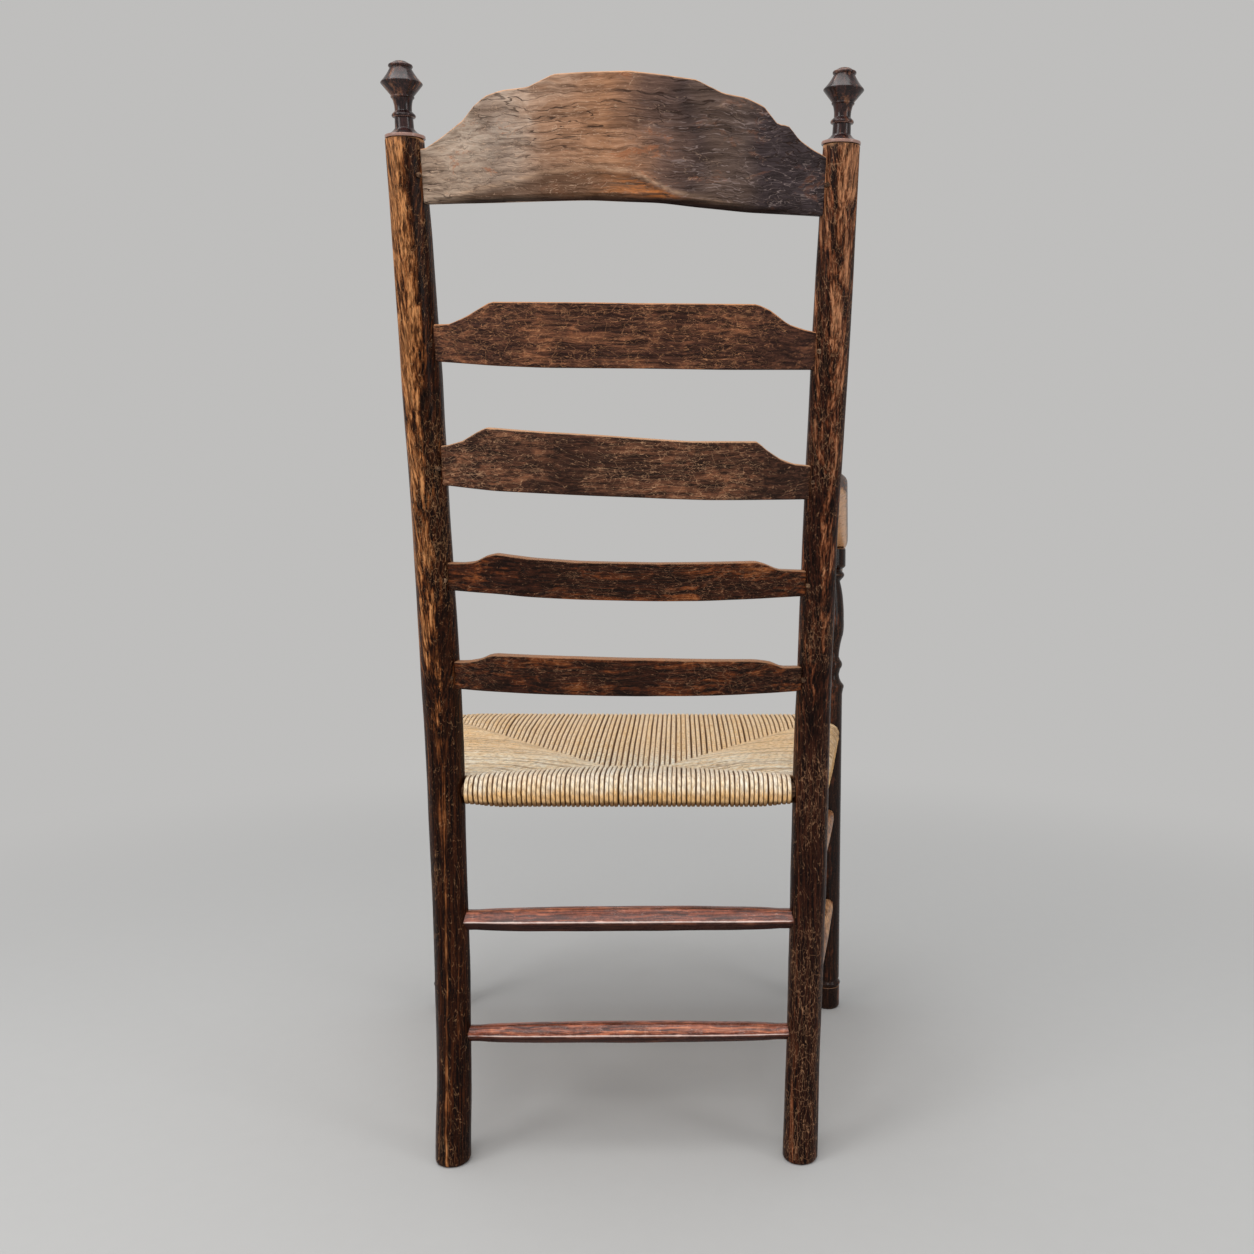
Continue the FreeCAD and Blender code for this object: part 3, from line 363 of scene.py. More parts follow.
def crestWood():
    # weathered silver at one end, warm brown in the middle, nearly black at the other
    wood = Finish("crestWood")
    wavy = wood.warped(wood.warped(wood.place, 20, 0.011), 75, 0.003)
    fine = wood.warped(wood.place, 90, 0.004)
    lines = wood.cloud(wood.mapped(wavy, (0.07, 1, 1)), 290, 4, 0.66)
    strands = wood.cloud(wood.mapped(wavy, (0.035, 1, 1)), 120, 4, 0.6)
    blotches = wood.cloud(wood.mapped(wavy, (0.5, 1, 1)), 60, 6, 0.66, 0.8)
    patches = wood.cloud(wood.mapped(wood.place, (0.6, 1, 1), (0.3, 0, 0.1)), 16, 3, 0.5)
    specks = wood.cloud(wood.place, 400, 2, 0.6)
    height = wood.axis("Z")
    across = wood.axis("X") + (patches - 0.5) * 0.05 + (blotches - 0.5) * 0.02
    shade = wood.ramp(lines * 0.45 + strands * 0.35 + blotches * 0.20, crestGrain)
    wood.colour = wood.mix(1.0, wood.ramp((across + 0.2) * 2.5, crestColours), shade,
                           "MULTIPLY")
    # sun-bleached silver on the left shoulder and orange where hands rubbed below the middle
    silver = (wood.step(across + (height - 1.06) * 0.35, 0.035, 0.105)
              * wood.step(blotches * 0.5 + patches * 0.5, 0.44, 0.60)
              * wood.step(height, 1.015, 1.06, 0.3, 1.0)
              * wood.step(lines, 0.34, 0.56, 0.4, 1.0))
    wood.paint(silver * 0.5, (0.52, 0.43, 0.35))
    spots = (wood.step(blotches + (specks - 0.5) * 0.2, 0.56, 0.66)
             * wood.step(patches, 0.44, 0.56))
    wood.paint(spots * wood.step(across, -0.10, 0.0, 0.2, 0.6), (0.34, 0.115, 0.045))
    # the shaved hollow: painted shade at its ends, a painted orange glow of light in the middle,
    # and a painted highlight along its crisp upper lip
    low = wood.attribute("scooped")
    # painted shade inside the hollow
    wood.paint(low * wood.step(across, 0.0, 0.06, 0.55, 0.80), (0.105, 0.050, 0.027))
    # painted light: an orange glow in the middle of the hollow
    paintedGlow = (low * wood.step(abs(across + 0.040), 0.075, 0.005)
               * wood.step(strands * 0.6 + lines * 0.4, 0.42, 0.54))
    wood.paint(paintedGlow * 0.85, (0.72, 0.23, 0.050))
    # painted highlight along the hollow's upper lip
    lip = wood.attribute("lip") * wood.step(blotches, 0.36, 0.52, 0.3, 1.0)
    wood.paint(lip * 0.55, (0.70, 0.44, 0.28))
    # pale streaks along the dark end, scratches, and cracks along the grain
    streaks = wood.strokes(wavy, (14, 1, 1), 0.02, 210, 0.016) * wood.step(across, 0.03, -0.07)
    wood.paint(streaks * wood.step(patches, 0.40, 0.56, 0.3, 1.0) * 0.45, (0.36, 0.27, 0.245))
    marks = (wood.strokes(wavy, (8, 1, 1), 0.03, 300, 0.013) * wood.step(across, -0.06, 0.04)
             + wood.strokes(fine, (7, 1, 1), 0.5, 220, 0.014) * wood.step(blotches, 0.53, 0.60)
             + wood.strokes(fine, (7, 1, 1), -0.45, 240, 0.013)
             * wood.step(blotches, 0.46, 0.40))
    marks = (marks.clamp() * wood.step(specks, 0.26, 0.48)
             * wood.step(across, -0.10, 0.0, 0.35, 1.0))
    wood.paint(marks * 0.45, (0.66, 0.44, 0.30))
    cracks = wood.strokes(wavy, (11, 1, 1), 0.0, 130, 0.016)
    wood.paint(cracks * wood.step(patches, 0.56, 0.44) * 0.8, (0.030, 0.014, 0.009))
    # tan on worn rims; along the top edge it is also a painted highlight
    rims = wood.step(wood.attribute("edgeWear") + (blotches - 0.5) * 0.7, 0.42, 0.78)
    wood.paint(rims * 0.85, (0.66, 0.36, 0.20))
    # painted shade on the bevelled underside
    wood.paint(wood.attribute("underside") * 0.92, (0.010, 0.004, 0.003))
    relief = lines * 0.7 + strands * 0.5 + blotches * 0.6 - cracks * 0.5
    roughness = (0.50 + (blotches - 0.5) * 0.4 + (lines - 0.5) * 0.3).clamp()
    return wood.surface(roughness=roughness, gloss=0.12,
                        normal=wood.bumped(relief, 0.9, 0.0016))


finishes["crest"] = crestWood()
print("stage: wood finishes mixed")


# shaping helpers
sides = {1: "left", -1: "right"}


def gridOf(bm, columns, rows, place):
    # a grid in bm whose corner at column c, row r goes to place(c, r)
    made = bmesh.ops.create_grid(bm, x_segments=columns, y_segments=rows, size=0.5)["verts"]
    for vert in made:
        column = round((vert.co.x + 0.5) * columns)
        row = round((vert.co.y + 0.5) * rows)
        vert.co = place(column, row)
    return made


def closeEnds(bm):
    rims = [edge for edge in bm.edges if edge.is_boundary]
    bmesh.ops.holes_fill(bm, edges=rims, sides=0)


def closeTube(bm):
    bmesh.ops.remove_doubles(bm, verts=bm.verts[:], dist=1e-6)
    closeEnds(bm)


def softenEdges(bm, width, steps=2, sharper=50):
    limit = math.radians(sharper)
    edges = [edge for edge in bm.edges if edge.is_manifold and edge.calc_face_angle(0) > limit]
    bmesh.ops.bevel(bm, geom=edges, offset=width, segments=steps, profile=0.5, affect="EDGES",
                    material=-1, clamp_overlap=True)


def asPiece(name, bm, finish, node, crease=32):
    bmesh.ops.recalc_face_normals(bm, faces=bm.faces[:])
    mesh = bpy.data.meshes.new(name)
    bm.to_mesh(mesh)
    bm.free()
    mesh.shade_smooth()
    mesh.set_sharp_from_angle(angle=math.radians(crease))
    piece = bpy.data.objects.new(name, mesh)
    bpy.context.scene.collection.objects.link(piece)
    mesh.materials.append(finish)
    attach(piece, "root")
    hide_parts(node)


def lerp(start, end, part):
    return start + (end - start) * part


def smooth(part):
    part = min(1.0, max(0.0, part))
    return part * part * (3 - 2 * part)


def between(points, at):
    # straight from point to point, points in rising order
    if at <= points[0][0]:
        return points[0][1]
    for (x0, y0), (x1, y1) in zip(points, points[1:]):
        if at <= x1:
            return lerp(y0, y1, (at - x0) / (x1 - x0))
    return points[-1][1]


def eased(points, at, reach):
    # the same line with its corners rounded over reach on both sides
    return sum(between(points, at + reach * step / 3) for step in range(-3, 4)) / 7


def unevenness(place, size, seed):
    return noise.noise(Vector(place) / size + Vector((seed, seed * 1.7, seed * 0.6)))


def facetDepth(turn, facets):
    # the radius of a regular prism next to that of the circle around it
    half = math.pi / facets
    return math.cos(half) / math.cos(turn % (math.tau / facets) - half)


# where things stand; frontLean is how far each old front post has racked over, per metre
stance = {
    "rearX": -0.005, "rearY": 0.1514, "frontY": -0.2596, "footSpread": 0.3814, "splay": 0.84,
    "frontSpread": 0.5645, "frontLean": {1: 0.0136, -1: 0.0018},
    "bendHeight": 0.470, "bendRadius": 0.420, "rake": 10.7, "upper": 0.5954,
}
rake = math.radians(stance["rake"])
splay = math.radians(stance["splay"])
bendTangent = stance["bendRadius"] * math.tan(rake / 2)
bendLength = stance["bendRadius"] * rake
backFrame = (Matrix.Translation((stance["rearX"], stance["rearY"], stance["bendHeight"]))
             @ Matrix.Rotation(-rake, 4, "X"))


def postFrame(side):
    foot = (stance["rearX"] + side * stance["footSpread"] / 2, stance["rearY"], 0)
    return Matrix.Translation(foot) @ Matrix.Rotation(side * splay, 4, "Y")


def rearAxis(side, height):
    across = stance["footSpread"] / 2 + height * math.tan(splay)
    lean = max(0, height - stance["bendHeight"]) * math.tan(rake)
    return Vector((stance["rearX"] + side * across, stance["rearY"] + lean, height))


def frontAxis(side, height):
    across = side * stance["frontSpread"] / 2 + stance["frontLean"][side] * height
    return Vector((across, stance["frontY"], height))


def upRake(distance):
    # a point of a rear post's straight upper part, by distance above the bend's corner
    return Vector((0, distance * math.sin(rake),
                   stance["bendHeight"] + distance * math.cos(rake)))


def postCentre(distance):
    # a point of a rear post's bent axis and its lean, by distance along it
    start = stance["bendHeight"] - bendTangent
    if distance <= start:
        return Vector((0, 0, distance)), 0.0
    if distance <= start + bendLength:
        radius = stance["bendRadius"]
        lean = (distance - start) / radius
        return Vector((0, radius * (1 - math.cos(lean)), start + radius * math.sin(lean))), lean
    return upRake(distance - start - bendLength + bendTangent), rake


# rear posts, shaved by hand: girth and sway by height, in metres
rearPosts = {
    1: dict(name="rearPostLeft", finish="leftPost", seed=3.1, facets=9,
            girth=[(0, 0.0196), (0.06, 0.0190), (0.12, 0.0187), (0.24, 0.0196), (0.30, 0.0191),
                   (0.39, 0.0200), (0.50, 0.0208), (0.565, 0.0209), (0.61, 0.0203),
                   (0.71, 0.0194), (0.77, 0.0200), (0.83, 0.0202), (0.90, 0.0199),
                   (0.96, 0.0196), (0.99, 0.0190), (1.06, 0.0184)],
            sway=[(0, 0.0024), (0.03, 0.0016), (0.08, -0.0010), (0.13, -0.0018),
                  (0.24, -0.0020), (0.31, -0.0010), (0.39, 0.0001), (0.50, 0.0005),
                  (0.60, -0.0002), (0.83, -0.0008), (0.90, -0.0003), (1.06, 0.0006)]),
    -1: dict(name="rearPostRight", finish="rightPost", seed=7.7, facets=10,
             girth=[(0, 0.0198), (0.05, 0.0192), (0.12, 0.0187), (0.30, 0.0196),
                    (0.39, 0.0195), (0.50, 0.0193), (0.61, 0.0188), (0.71, 0.0182),
                    (0.77, 0.0191), (0.91, 0.0191), (1.06, 0.0184)],
             sway=[(0, 0.0008), (0.12, 0.0002), (0.30, -0.0008), (0.50, -0.0005),
                   (0.61, 0.0006), (0.71, 0.0016), (0.77, 0.0008), (0.91, 0.0002),
                   (1.06, -0.0006)]),
}
# rings at both ends as distance and inset; facets get flatter from flatFrom up
postShaving = {
    "around": 44, "ring": 0.009, "ease": 0.03, "rough": 0.00028, "swell": 0.0005,
    "footRings": [(0.0, -0.0035), (0.0009, -0.0014), (0.0035, 0.0)],
    "topRings": [(-0.0018, 0.0), (-0.0005, -0.0006), (0.0, -0.0018)],
    "flatness": (0.40, 0.80), "flatFrom": 0.80, "topWear": 0.008, "twist": 0.3, "twistRate": 4,
}


def rearPost(side, word):
    words, shaving = rearPosts[side], postShaving
    seed, facets, around = words["seed"], words["facets"], shaving["around"]
    total = stance["bendHeight"] - bendTangent * 2 + bendLength + stance["upper"]
    count = round(total / shaving["ring"])
    rings = list(shaving["footRings"])
    rings += [(total * index / count, 0.0) for index in range(1, count)]
    rings += [(total + back, inward) for back, inward in shaving["topRings"]]
    frameHere = postFrame(side)

    def twisted(column, distance):
        # the facets wind a little round the post
        wave = math.sin(distance * shaving["twistRate"] + seed)
        return math.tau * column / around + shaving["twist"] * wave

    def place(column, row):
        distance, inward = rings[row]
        turn = math.tau * column / around
        centre, lean = postCentre(distance)
        c, s = math.cos(turn), math.sin(turn)
        rough = unevenness((c * 0.02, s * 0.02, distance * 0.35), 0.016, seed)
        swell = unevenness((c * 0.02, s * 0.02, distance), 0.09, seed)
        flatness = lerp(*shaving["flatness"], smooth((distance - shaving["flatFrom"]) / 0.2))
        radius = eased(words["girth"], distance, shaving["ease"])
        radius *= lerp(1, facetDepth(twisted(column, distance), facets), flatness)
        radius += rough * shaving["rough"] + swell * shaving["swell"] + inward
        out = Vector((c, s * math.cos(lean), -s * math.sin(lean)))
        here = frameHere @ (centre + out * radius)
        here.x += eased(words["sway"], distance, shaving["ease"])
        if row == 0:
            here.z = 0.0
        return here

    bm = bmesh.new()
    toneLayer = bm.verts.layers.float.new("facetTone")
    for order, vert in enumerate(gridOf(bm, around, len(rings) - 1, place)):
        row, column = divmod(order, around + 1)
        distance = rings[row][0]
        facet = math.floor(twisted(column, distance) * facets / math.tau) % facets
        vert[toneLayer] = 0.5 + 0.7 * unevenness((facet * 1.7, 0, distance * 0.3), 0.23, seed)
    closeTube(bm)
    wear = bm.verts.layers.float.new("edgeWear")
    topZ = (frameHere @ postCentre(total)[0]).z
    for vert in bm.verts:
        vert[wear] = max(0, 1 - abs(vert.co.z - topZ) / shaving["topWear"])
    asPiece(words["name"], bm, finishes[words["finish"]], "rear_post_" + word)


for side, word in sides.items():
    rearPost(side, word)
print("stage: rear posts")


# slats: each has its own hand-sawn top and bottom line, in millimetres across and up
slats = {
    "bow": 0.030, "thickness": 0.009, "stop": 0.008, "edge": 0.0020, "rows": 18, "gap": 0.005,
    "wearReach": 0.0026, "swell": 0.0007, "rough": 0.00030,
    "list": [
        dict(name="backSlat2", node="back_slat_2", foot=0.3875, tilt=0.4, finish="warmSlat",
             seed=2.0,
             top=[(-190, 37), (-185, 37.2), (-173, 39.7), (-158, 44.1), (-140, 56.7),
                  (-127, 61.9), (-15, 60.4), (23, 60.4), (128, 59.8), (139, 53.8), (153, 45.9),
                  (170, 38.8), (184, 38.4)],
             bottom=[(-184, 0.9), (-97, -0.3), (-15, -0.3), (76, -1.1), (125, 0), (180, 3.0)]),
        dict(name="backSlat3", node="back_slat_3", foot=0.2635, tilt=1.7, finish="slat",
             seed=4.0,
             top=[(-183, 35.1), (-167, 36.6), (-152, 41.7), (-138, 50.4), (-129, 58.0),
                  (-61, 56.2), (26, 59.1), (88, 60.1), (139, 61.6), (149, 56.2), (163, 47.3),
                  (181, 41.4)],
             bottom=[(-184, 0.8), (-81, -1.4), (-15, -0.7), (63, -0.6), (130, -0.7),
                     (182, 1.9)]),
        dict(name="backSlat4", node="back_slat_4", foot=0.158, tilt=0.6, finish="lowSlat",
             seed=6.0,
             top=[(-183, 28.9), (-155, 30.8), (-140, 37.4), (-131, 39.7), (-33, 38.7),
                  (48, 38.9), (96, 40.6), (132, 43.8), (142, 41.3), (154, 34.4), (168, 32.1),
                  (183, 31.7)],
             bottom=[(-178, 1.9), (-72, -0.6), (-33, -0.7), (48, -0.3), (104, 0.6), (129, 2.0),
                     (177, 2.8)]),
        dict(name="backSlat5", node="back_slat_5", foot=0.055, tilt=0.2, finish="lowSlat",
             seed=8.0,
             top=[(-181, 26.9), (-162, 28.1), (-149, 34.1), (-133, 36.8), (-33, 40.5),
                  (49, 41.8), (137, 41.3), (144, 39.8), (153, 34.9), (167, 31.7), (180, 30.7)],
             bottom=[(-179, 0.6), (-93, 0.3), (-33, 1.0), (50, 1.1), (116, 0.9), (177, 1.0)]),
    ],
}
crest = {
    "name": "crestRail", "node": "crest_rail", "foot": 0.535, "tilt": 0.6, "seed": 12.0,
    "rows": 34, "gap": 0.004, "edge": 0.0024, "finish": "crest",
    "top": [(-192, 49.5), (-176, 56.3), (-163, 64.0), (-153, 75.2), (-142, 76.0), (-129, 90.2),
            (-112, 96.5), (-91, 99.3), (-75, 105.7), (-66, 109.5), (-32, 112.6), (-5, 114.5),
            (30, 112.9), (63, 110.8), (75, 105.4), (87, 99.8), (111, 97.3), (126, 92.9),
            (137, 85.0), (148, 73.0), (171, 57.6), (186, 48.8)],
    "bottom": [(-190, -2.1), (-123, -2.1), (-68, 1.0), (-35, 3.7), (3, 4.0), (30, 4.6),
               (67, 3.5), (121, 1.6), (189, 0.4)],
    # the shaved hollow on the back: how high it reaches
    "scoop": [(-150, 0), (-100, 5), (-48, 8), (-30, 15), (-10, 24), (20, 27), (62, 25),
              (104, 16), (150, 7), (186, 0)],
    "scoopDepth": 0.0030, "bevelDepth": 0.0050,
    # a shaved slope and a ridge on the left shoulder, as place, length, height, fall, width, rise
    "marks": [(0.152, 0.030, 0.060, 0.6, 0.012, -0.0018),
              (0.12, 0.045, 0.082, 0.25, 0.007, 0.0007)],
}


def halfSpread(distance):
    return rearAxis(1, upRake(distance).z).x - stance["rearX"]


def bowAt(x):
    chord = halfSpread(crest["foot"])
    radius = (chord ** 2 + slats["bow"] ** 2) / (2 * slats["bow"])
    return radius, slats["bow"] - radius + math.sqrt(radius ** 2 - x ** 2)


def edgeLine(points, x, reach=1.6):
    return eased(points, x * 1000, reach) / 1000


def bowedBoard(words, rows, gap, edge, carve=None, crease=32):
    # a flat board to its outline, thickened, edged, carved and then bent to the bow
    half = halfSpread(words["foot"]) - slats["stop"]
    columns = round(2 * half / gap)
    thick = slats["thickness"]

    def outline(x):
        return edgeLine(words["bottom"], x, 8), edgeLine(words["top"], x)

    def place(column, row):
        x = lerp(-half, half, column / columns)
        return Vector((x, -thick / 2, lerp(*outline(x), row / rows)))

    bm = bmesh.new()
    gridOf(bm, columns, rows, place)
    grown = bmesh.ops.extrude_face_region(bm, geom=bm.faces[:])["geom"]
    bmesh.ops.translate(bm, vec=(0, thick, 0),
                        verts=[item for item in grown if isinstance(item, bmesh.types.BMVert)])
    bmesh.ops.recalc_face_normals(bm, faces=bm.faces[:])
    softenEdges(bm, edge, 3, 60)
    layers = [bm.verts.layers.float.new(name)
              for name in ("edgeWear", "scooped", "underside", "lip")]
    stand = backFrame @ Matrix.Translation((0, 0, words["foot"])) @ Matrix.Rotation(
        -math.radians(words["tilt"]), 4, "Y")
    for vert in bm.verts:
        x, y, z = vert.co
        low, high = outline(x)
        back = smooth((y + thick / 2) / thick)
        # the edge tan sits mostly on the top edge, partly real wear and partly a painted
        # highlight where light falls there; the lower edge gets a little
        upper = max(0.0, 1 - max(0.0, high - z) / slats["wearReach"]) * (0.8 + 0.2 * back)
        lower = max(0.0, 1 - max(0.0, z - low) / 0.003) * 0.2
        *carved, lift = carve(x, z - low) if carve and back >= 0.5 else (0.0, 0.0, 0.0, 0.0)
        for layer, amount in zip(layers, (max(upper, lower), *carved)):
            vert[layer] = amount
        lift += unevenness((x, back, z), 0.045, words["seed"]) * slats["swell"]
        lift += unevenness((x * 0.35, back, z), 0.010, words["seed"]) * slats["rough"]
        bent = y + lift * (1 if back > 0.5 else -1)
        radius, depth = bowAt(x)
        vert.co = stand @ Vector((x + x / radius * bent, depth + bent, z))
    asPiece(words["name"], bm, finishes[words["finish"]], words["node"], crease)


def crestCarving(x, z):
    # the hollow along the lower edge of the back face, its bevelled underside and tool marks
    reach = edgeLine(crest["scoop"], x, 8)
    inside = smooth((reach - z) / 0.005) if reach > 0.001 else 0.0
    above = math.exp(-((z - reach - 0.0010) / 0.0015) ** 2) * smooth((reach - 0.003) / 0.006)
    under = smooth((0.190 - abs(x)) / 0.05) * smooth((0.0056 - z) / 0.0034)
    lift = -crest["scoopDepth"] * inside - crest["bevelDepth"] * under
    for at, length, height, fall, width, rise in crest["marks"]:
        off = x - at
        lift += rise * math.exp(-(off / length) ** 2 - ((z - height + off * fall) / width) ** 2)
    # masks returned: the hollow, painted with shade and a glow; the bevel, painted in shade; the
    # lip, painted as a highlight
    return inside * (1 - under), under, above, lift


for words in slats["list"]:
    bowedBoard(words, slats["rows"], slats["gap"], slats["edge"])
bowedBoard(crest, crest["rows"], crest["gap"], crest["edge"], crestCarving, 40)
print("stage: slats and crest")


# turned pieces: half profiles as (radius, height, how far the next edge bows)
finialShape = [
    (0, -0.028), (0.007, -0.028), (0.007, 0), (0.0187, 0), (0.0187, 0.0028, 0.0012),
    (0.0088, 0.0092), (0.0085, 0.0183), (0.0104, 0.0187, -0.0007), (0.0104, 0.0217),
    (0.0080, 0.0240, 0.0006), (0.0096, 0.0350), (0.0104, 0.0354, -0.0005), (0.0104, 0.0374),
    (0.0188, 0.0472, -0.0004), (0.0188, 0.0488, 0.0006), (0.0098, 0.0612),
    (0.0106, 0.0616, -0.0006), (0.0106, 0.0642), (0.0088, 0.0646, -0.0012), (0, 0.067),
]
frontPostShape = [
    (0, 0), (0.016, 0), (0.0177, 0.003), (0.0177, 0.032), (0.0160, 0.033),
    (0.0177, 0.034, -0.001), (0.0177, 0.039, 0.001), (0.0170, 0.045), (0.0172, 0.25),
    (0.0175, 0.468), (0.019, 0.476, -0.0008), (0.019, 0.482, 0.0015), (0.0125, 0.497),
    (0.0142, 0.5045, -0.003), (0.0142, 0.5185), (0.0122, 0.523, 0.0010),
    (0.0182, 0.556, -0.0006), (0.0190, 0.578, -0.0004), (0.0180, 0.602, -0.0008),
    (0.0128, 0.6335), (0.0160, 0.6375, -0.0030), (0.0160, 0.6475), (0.0145, 0.6500),
    (0.0195, 0.6540), (0.0205, 0.6560), (0.0205, 0.6800), (0.0190, 0.682), (0.010, 0.682),
    (0.010, 0.698), (0, 0.698),
]


def profileLine(corners, pieces=5, rim=0.0008):
    # the corners, with a ring close to each on straight runs so that wear stays on the edge
    line = []
    for corner, after in zip(corners, corners[1:]):
        here, there = Vector(corner[:2]), Vector(after[:2])
        chord = there - here
        line.append(here)
        if len(corner) == 2 and chord.length > 4 * rim:
            line += [here + chord.normalized() * rim, there - chord.normalized() * rim]
        if len(corner) > 2:
            out = Vector((-chord.y, chord.x)).normalized()
            pull = (here + there) / 2 + out * corner[2] * 2
            for step in range(1, pieces):
                part = step / pieces
                line.append(here.lerp(pull, part).lerp(pull.lerp(there, part), part))
    return line + [Vector(corners[-1][:2])]


def cornerWear(line):
    # how much each corner of a profile stands out, where hands rub the finish off
    worn = {}
    for before, here, after in zip(line, line[1:], line[2:]):
        turn = (here - before).angle_signed(after - here, 0.0)
        if here.x > 1e-5:
            worn[(round(here.x, 5), round(here.y, 5))] = min(1.0, max(0.0, -turn / 0.9))
    return worn


def turnedPiece(name, shape, placement, finish, node, steps=48, softness=0.0004,
                ovalness=0.0):
    line = profileLine(shape)
    worn = cornerWear(line)
    bm = bmesh.new()
    verts = [bm.verts.new((point.x, 0, point.y)) for point in line]
    edges = [bm.edges.new(pair) for pair in zip(verts, verts[1:])]
    bmesh.ops.spin(bm, geom=verts + edges, cent=(0, 0, 0), axis=(0, 0, 1), angle=math.tau,
                   steps=steps, use_merge=True, use_duplicate=False)
    bmesh.ops.remove_doubles(bm, verts=bm.verts[:], dist=1e-5)
    layer = bm.verts.layers.float.new("edgeWear")
    for vert in bm.verts:
        key = (round(math.hypot(vert.co.x, vert.co.y), 5), round(vert.co.z, 5))
        vert[layer] = worn.get(key, 0.0)
    softenEdges(bm, softness, 2, 34)
    for vert in bm.verts:
        swell = 1 + ovalness * unevenness(vert.co, 0.05, len(name))
        vert.co = placement @ Vector((vert.co.x * swell, vert.co.y * swell, vert.co.z))
    asPiece(name, bm, finishes[finish], node)


for side, word in sides.items():
    onTop = (postFrame(side) @ Matrix.Translation(upRake(stance["upper"]))
             @ Matrix.Rotation(-rake, 4, "X"))
    turnedPiece("finial" + word.title(), finialShape, onTop, "finial",
                "finial_" + word)
    racked = (Matrix.Translation(frontAxis(side, 0))
              @ Matrix.Shear("XY", 4, (stance["frontLean"][side], 0)))
    turnedPiece("frontPost" + word.title(), frontPostShape, racked, "frontPost",
                "front_post_" + word, steps=40, softness=0.0007, ovalness=0.012)
print("stage: finials and front posts")


# stretchers, shaved to facets and tapered to their ends; painted shadow darkens the lower facets
# and the ends by the posts
stretchers = {
    "straight": 0.026, "around": 36, "ring": 0.010, "rough": 0.00035, "sway": 0.0009,
    "acrossInset": 0.0105, "sideInset": -0.006,
    "list": [
        dict(name="rearStretcherUpper", node="rear_stretcher_upper", axis=rearAxis,
             height=0.2695, dia=0.0265, end=0.0215, facets=6, flat=0.85, turn=0.0, seed=1.5,
             finish="stretcher", shadow=1.0),
        dict(name="rearStretcherLower", node="rear_stretcher_lower", axis=rearAxis,
             height=0.143, dia=0.0225, end=0.017, facets=6, flat=0.5, turn=0.0, seed=2.5,
             finish="stretcher", shadow=0.9),
        dict(name="frontStretcher", node="front_stretcher", axis=frontAxis,
             height=0.134, dia=0.030, end=0.017, facets=11, flat=0.2, turn=0.2, seed=3.5,
             finish="stretcher", shadow=0.6),
    ],
}
for side, word in sides.items():
    for level, height in (("upper", 0.291), ("lower", 0.158)):
        stretchers["list"].append(
            dict(name="sideStretcher" + level.title() + word.title(), side=side, height=height,
                 node="side_stretcher_%s_%s" % (level, word), dia=0.020, end=0.016,
                 facets=9, flat=0.5, turn=0.2, seed=5 + side + height * 10,
                 finish="sideStretcher", shadow=0.0))


def stretcher(words):
    height, seed, shadow = words["height"], words["seed"], words["shadow"]
    if "axis" in words:
        start, end = words["axis"](1, height), words["axis"](-1, height)
        inset = stretchers["acrossInset"]
    else:
        start, end = rearAxis(words["side"], height), frontAxis(words["side"], height)
        inset = stretchers["sideInset"]
    direction = (end - start).normalized()
    start, end = start + direction * inset, end - direction * inset
    length = (end - start).length
    sideways = direction.cross(Vector((0, 0, 1))).normalized()
    upwards = sideways.cross(direction)
    straight, around = stretchers["straight"], stretchers["around"]
    count = round(length / stretchers["ring"])

    def place(column, row):
        at = length * row / count
        turn = math.tau * column / around
        c, s = math.cos(turn), math.sin(turn)
        middle = (at - straight) / (length - 2 * straight)
        full = 0.0 if middle <= 0 or middle >= 1 else (4 * middle * (1 - middle)) ** 0.45
        radius = lerp(words["end"], words["dia"], full) / 2
        depth = facetDepth(turn + words["turn"], words["facets"])
        radius *= lerp(1, depth * 1.03, words["flat"])
        radius += unevenness((c * 0.012, s * 0.012, at * 0.3), 0.014, seed) * stretchers["rough"]
        sway = Vector((0, 0, unevenness((0, 0, at), 0.12, seed) * stretchers["sway"]))
        return start + direction * at + (sideways * c + upwards * s) * radius + sway

    bm = bmesh.new()
    underside = bm.verts.layers.float.new("underside")
    wear = bm.verts.layers.float.new("edgeWear")
    for order, vert in enumerate(gridOf(bm, around, count, place)):
        row, column = divmod(order, around + 1)
        turn = 360 * column / around
        fromEnd = min(row, count - row) / count
        # painted shade: the lower facets, and both ends where they go into the posts
        below = smooth(-math.sin(math.radians(turn)) / 0.28)
        vert[underside] = shadow * max(below, 0.6 * smooth(1 - fromEnd / 0.035))
        vert[wear] = shadow if turn % 360 < 1 and fromEnd > 0.01 else 0.0
    closeTube(bm)
    asPiece(words["name"], bm, finishes[words["finish"]], words["node"], 26)


for words in stretchers["list"]:
    stretcher(words)
print("stage: stretchers")


# arms: stations along the arm from the scroll's tip, as forward, up, width and thickness
armShape = {
    "seat": 0.682, "rear": 0.748, "thickness": 0.022, "around": 32, "width": 0.0410,
    "rise": 0.011, "neckLength": 0.046, "neckWidth": 0.024, "cope": 0.0145, "sway": 0.0006,
    "squareness": (0.42, 0.5), "edge": 0.0015,
    "widen": {1: 0.94, -1: 1.073}, "outset": {1: 0.00125, -1: 0.0015},
    "stations": [
        (-0.0375, -0.0375, 0.022, 0.007), (-0.0372, -0.0345, 0.026, 0.013),
        (-0.0368, -0.0280, 0.0275, 0.017), (-0.0362, -0.0190, 0.0285, 0.0195),
        (-0.0348, -0.0090, 0.0300, 0.0205), (-0.0300, 0.0010, 0.0320, 0.0210),
        (-0.0210, 0.0080, 0.0350, 0.0215), (-0.0100, 0.0106, 0.0380, 0.0220),
        (0.0050, 0.0110, 0.0400, 0.0220), (0.0300, 0.0110, 0.0410, 0.0220),
    ],
}


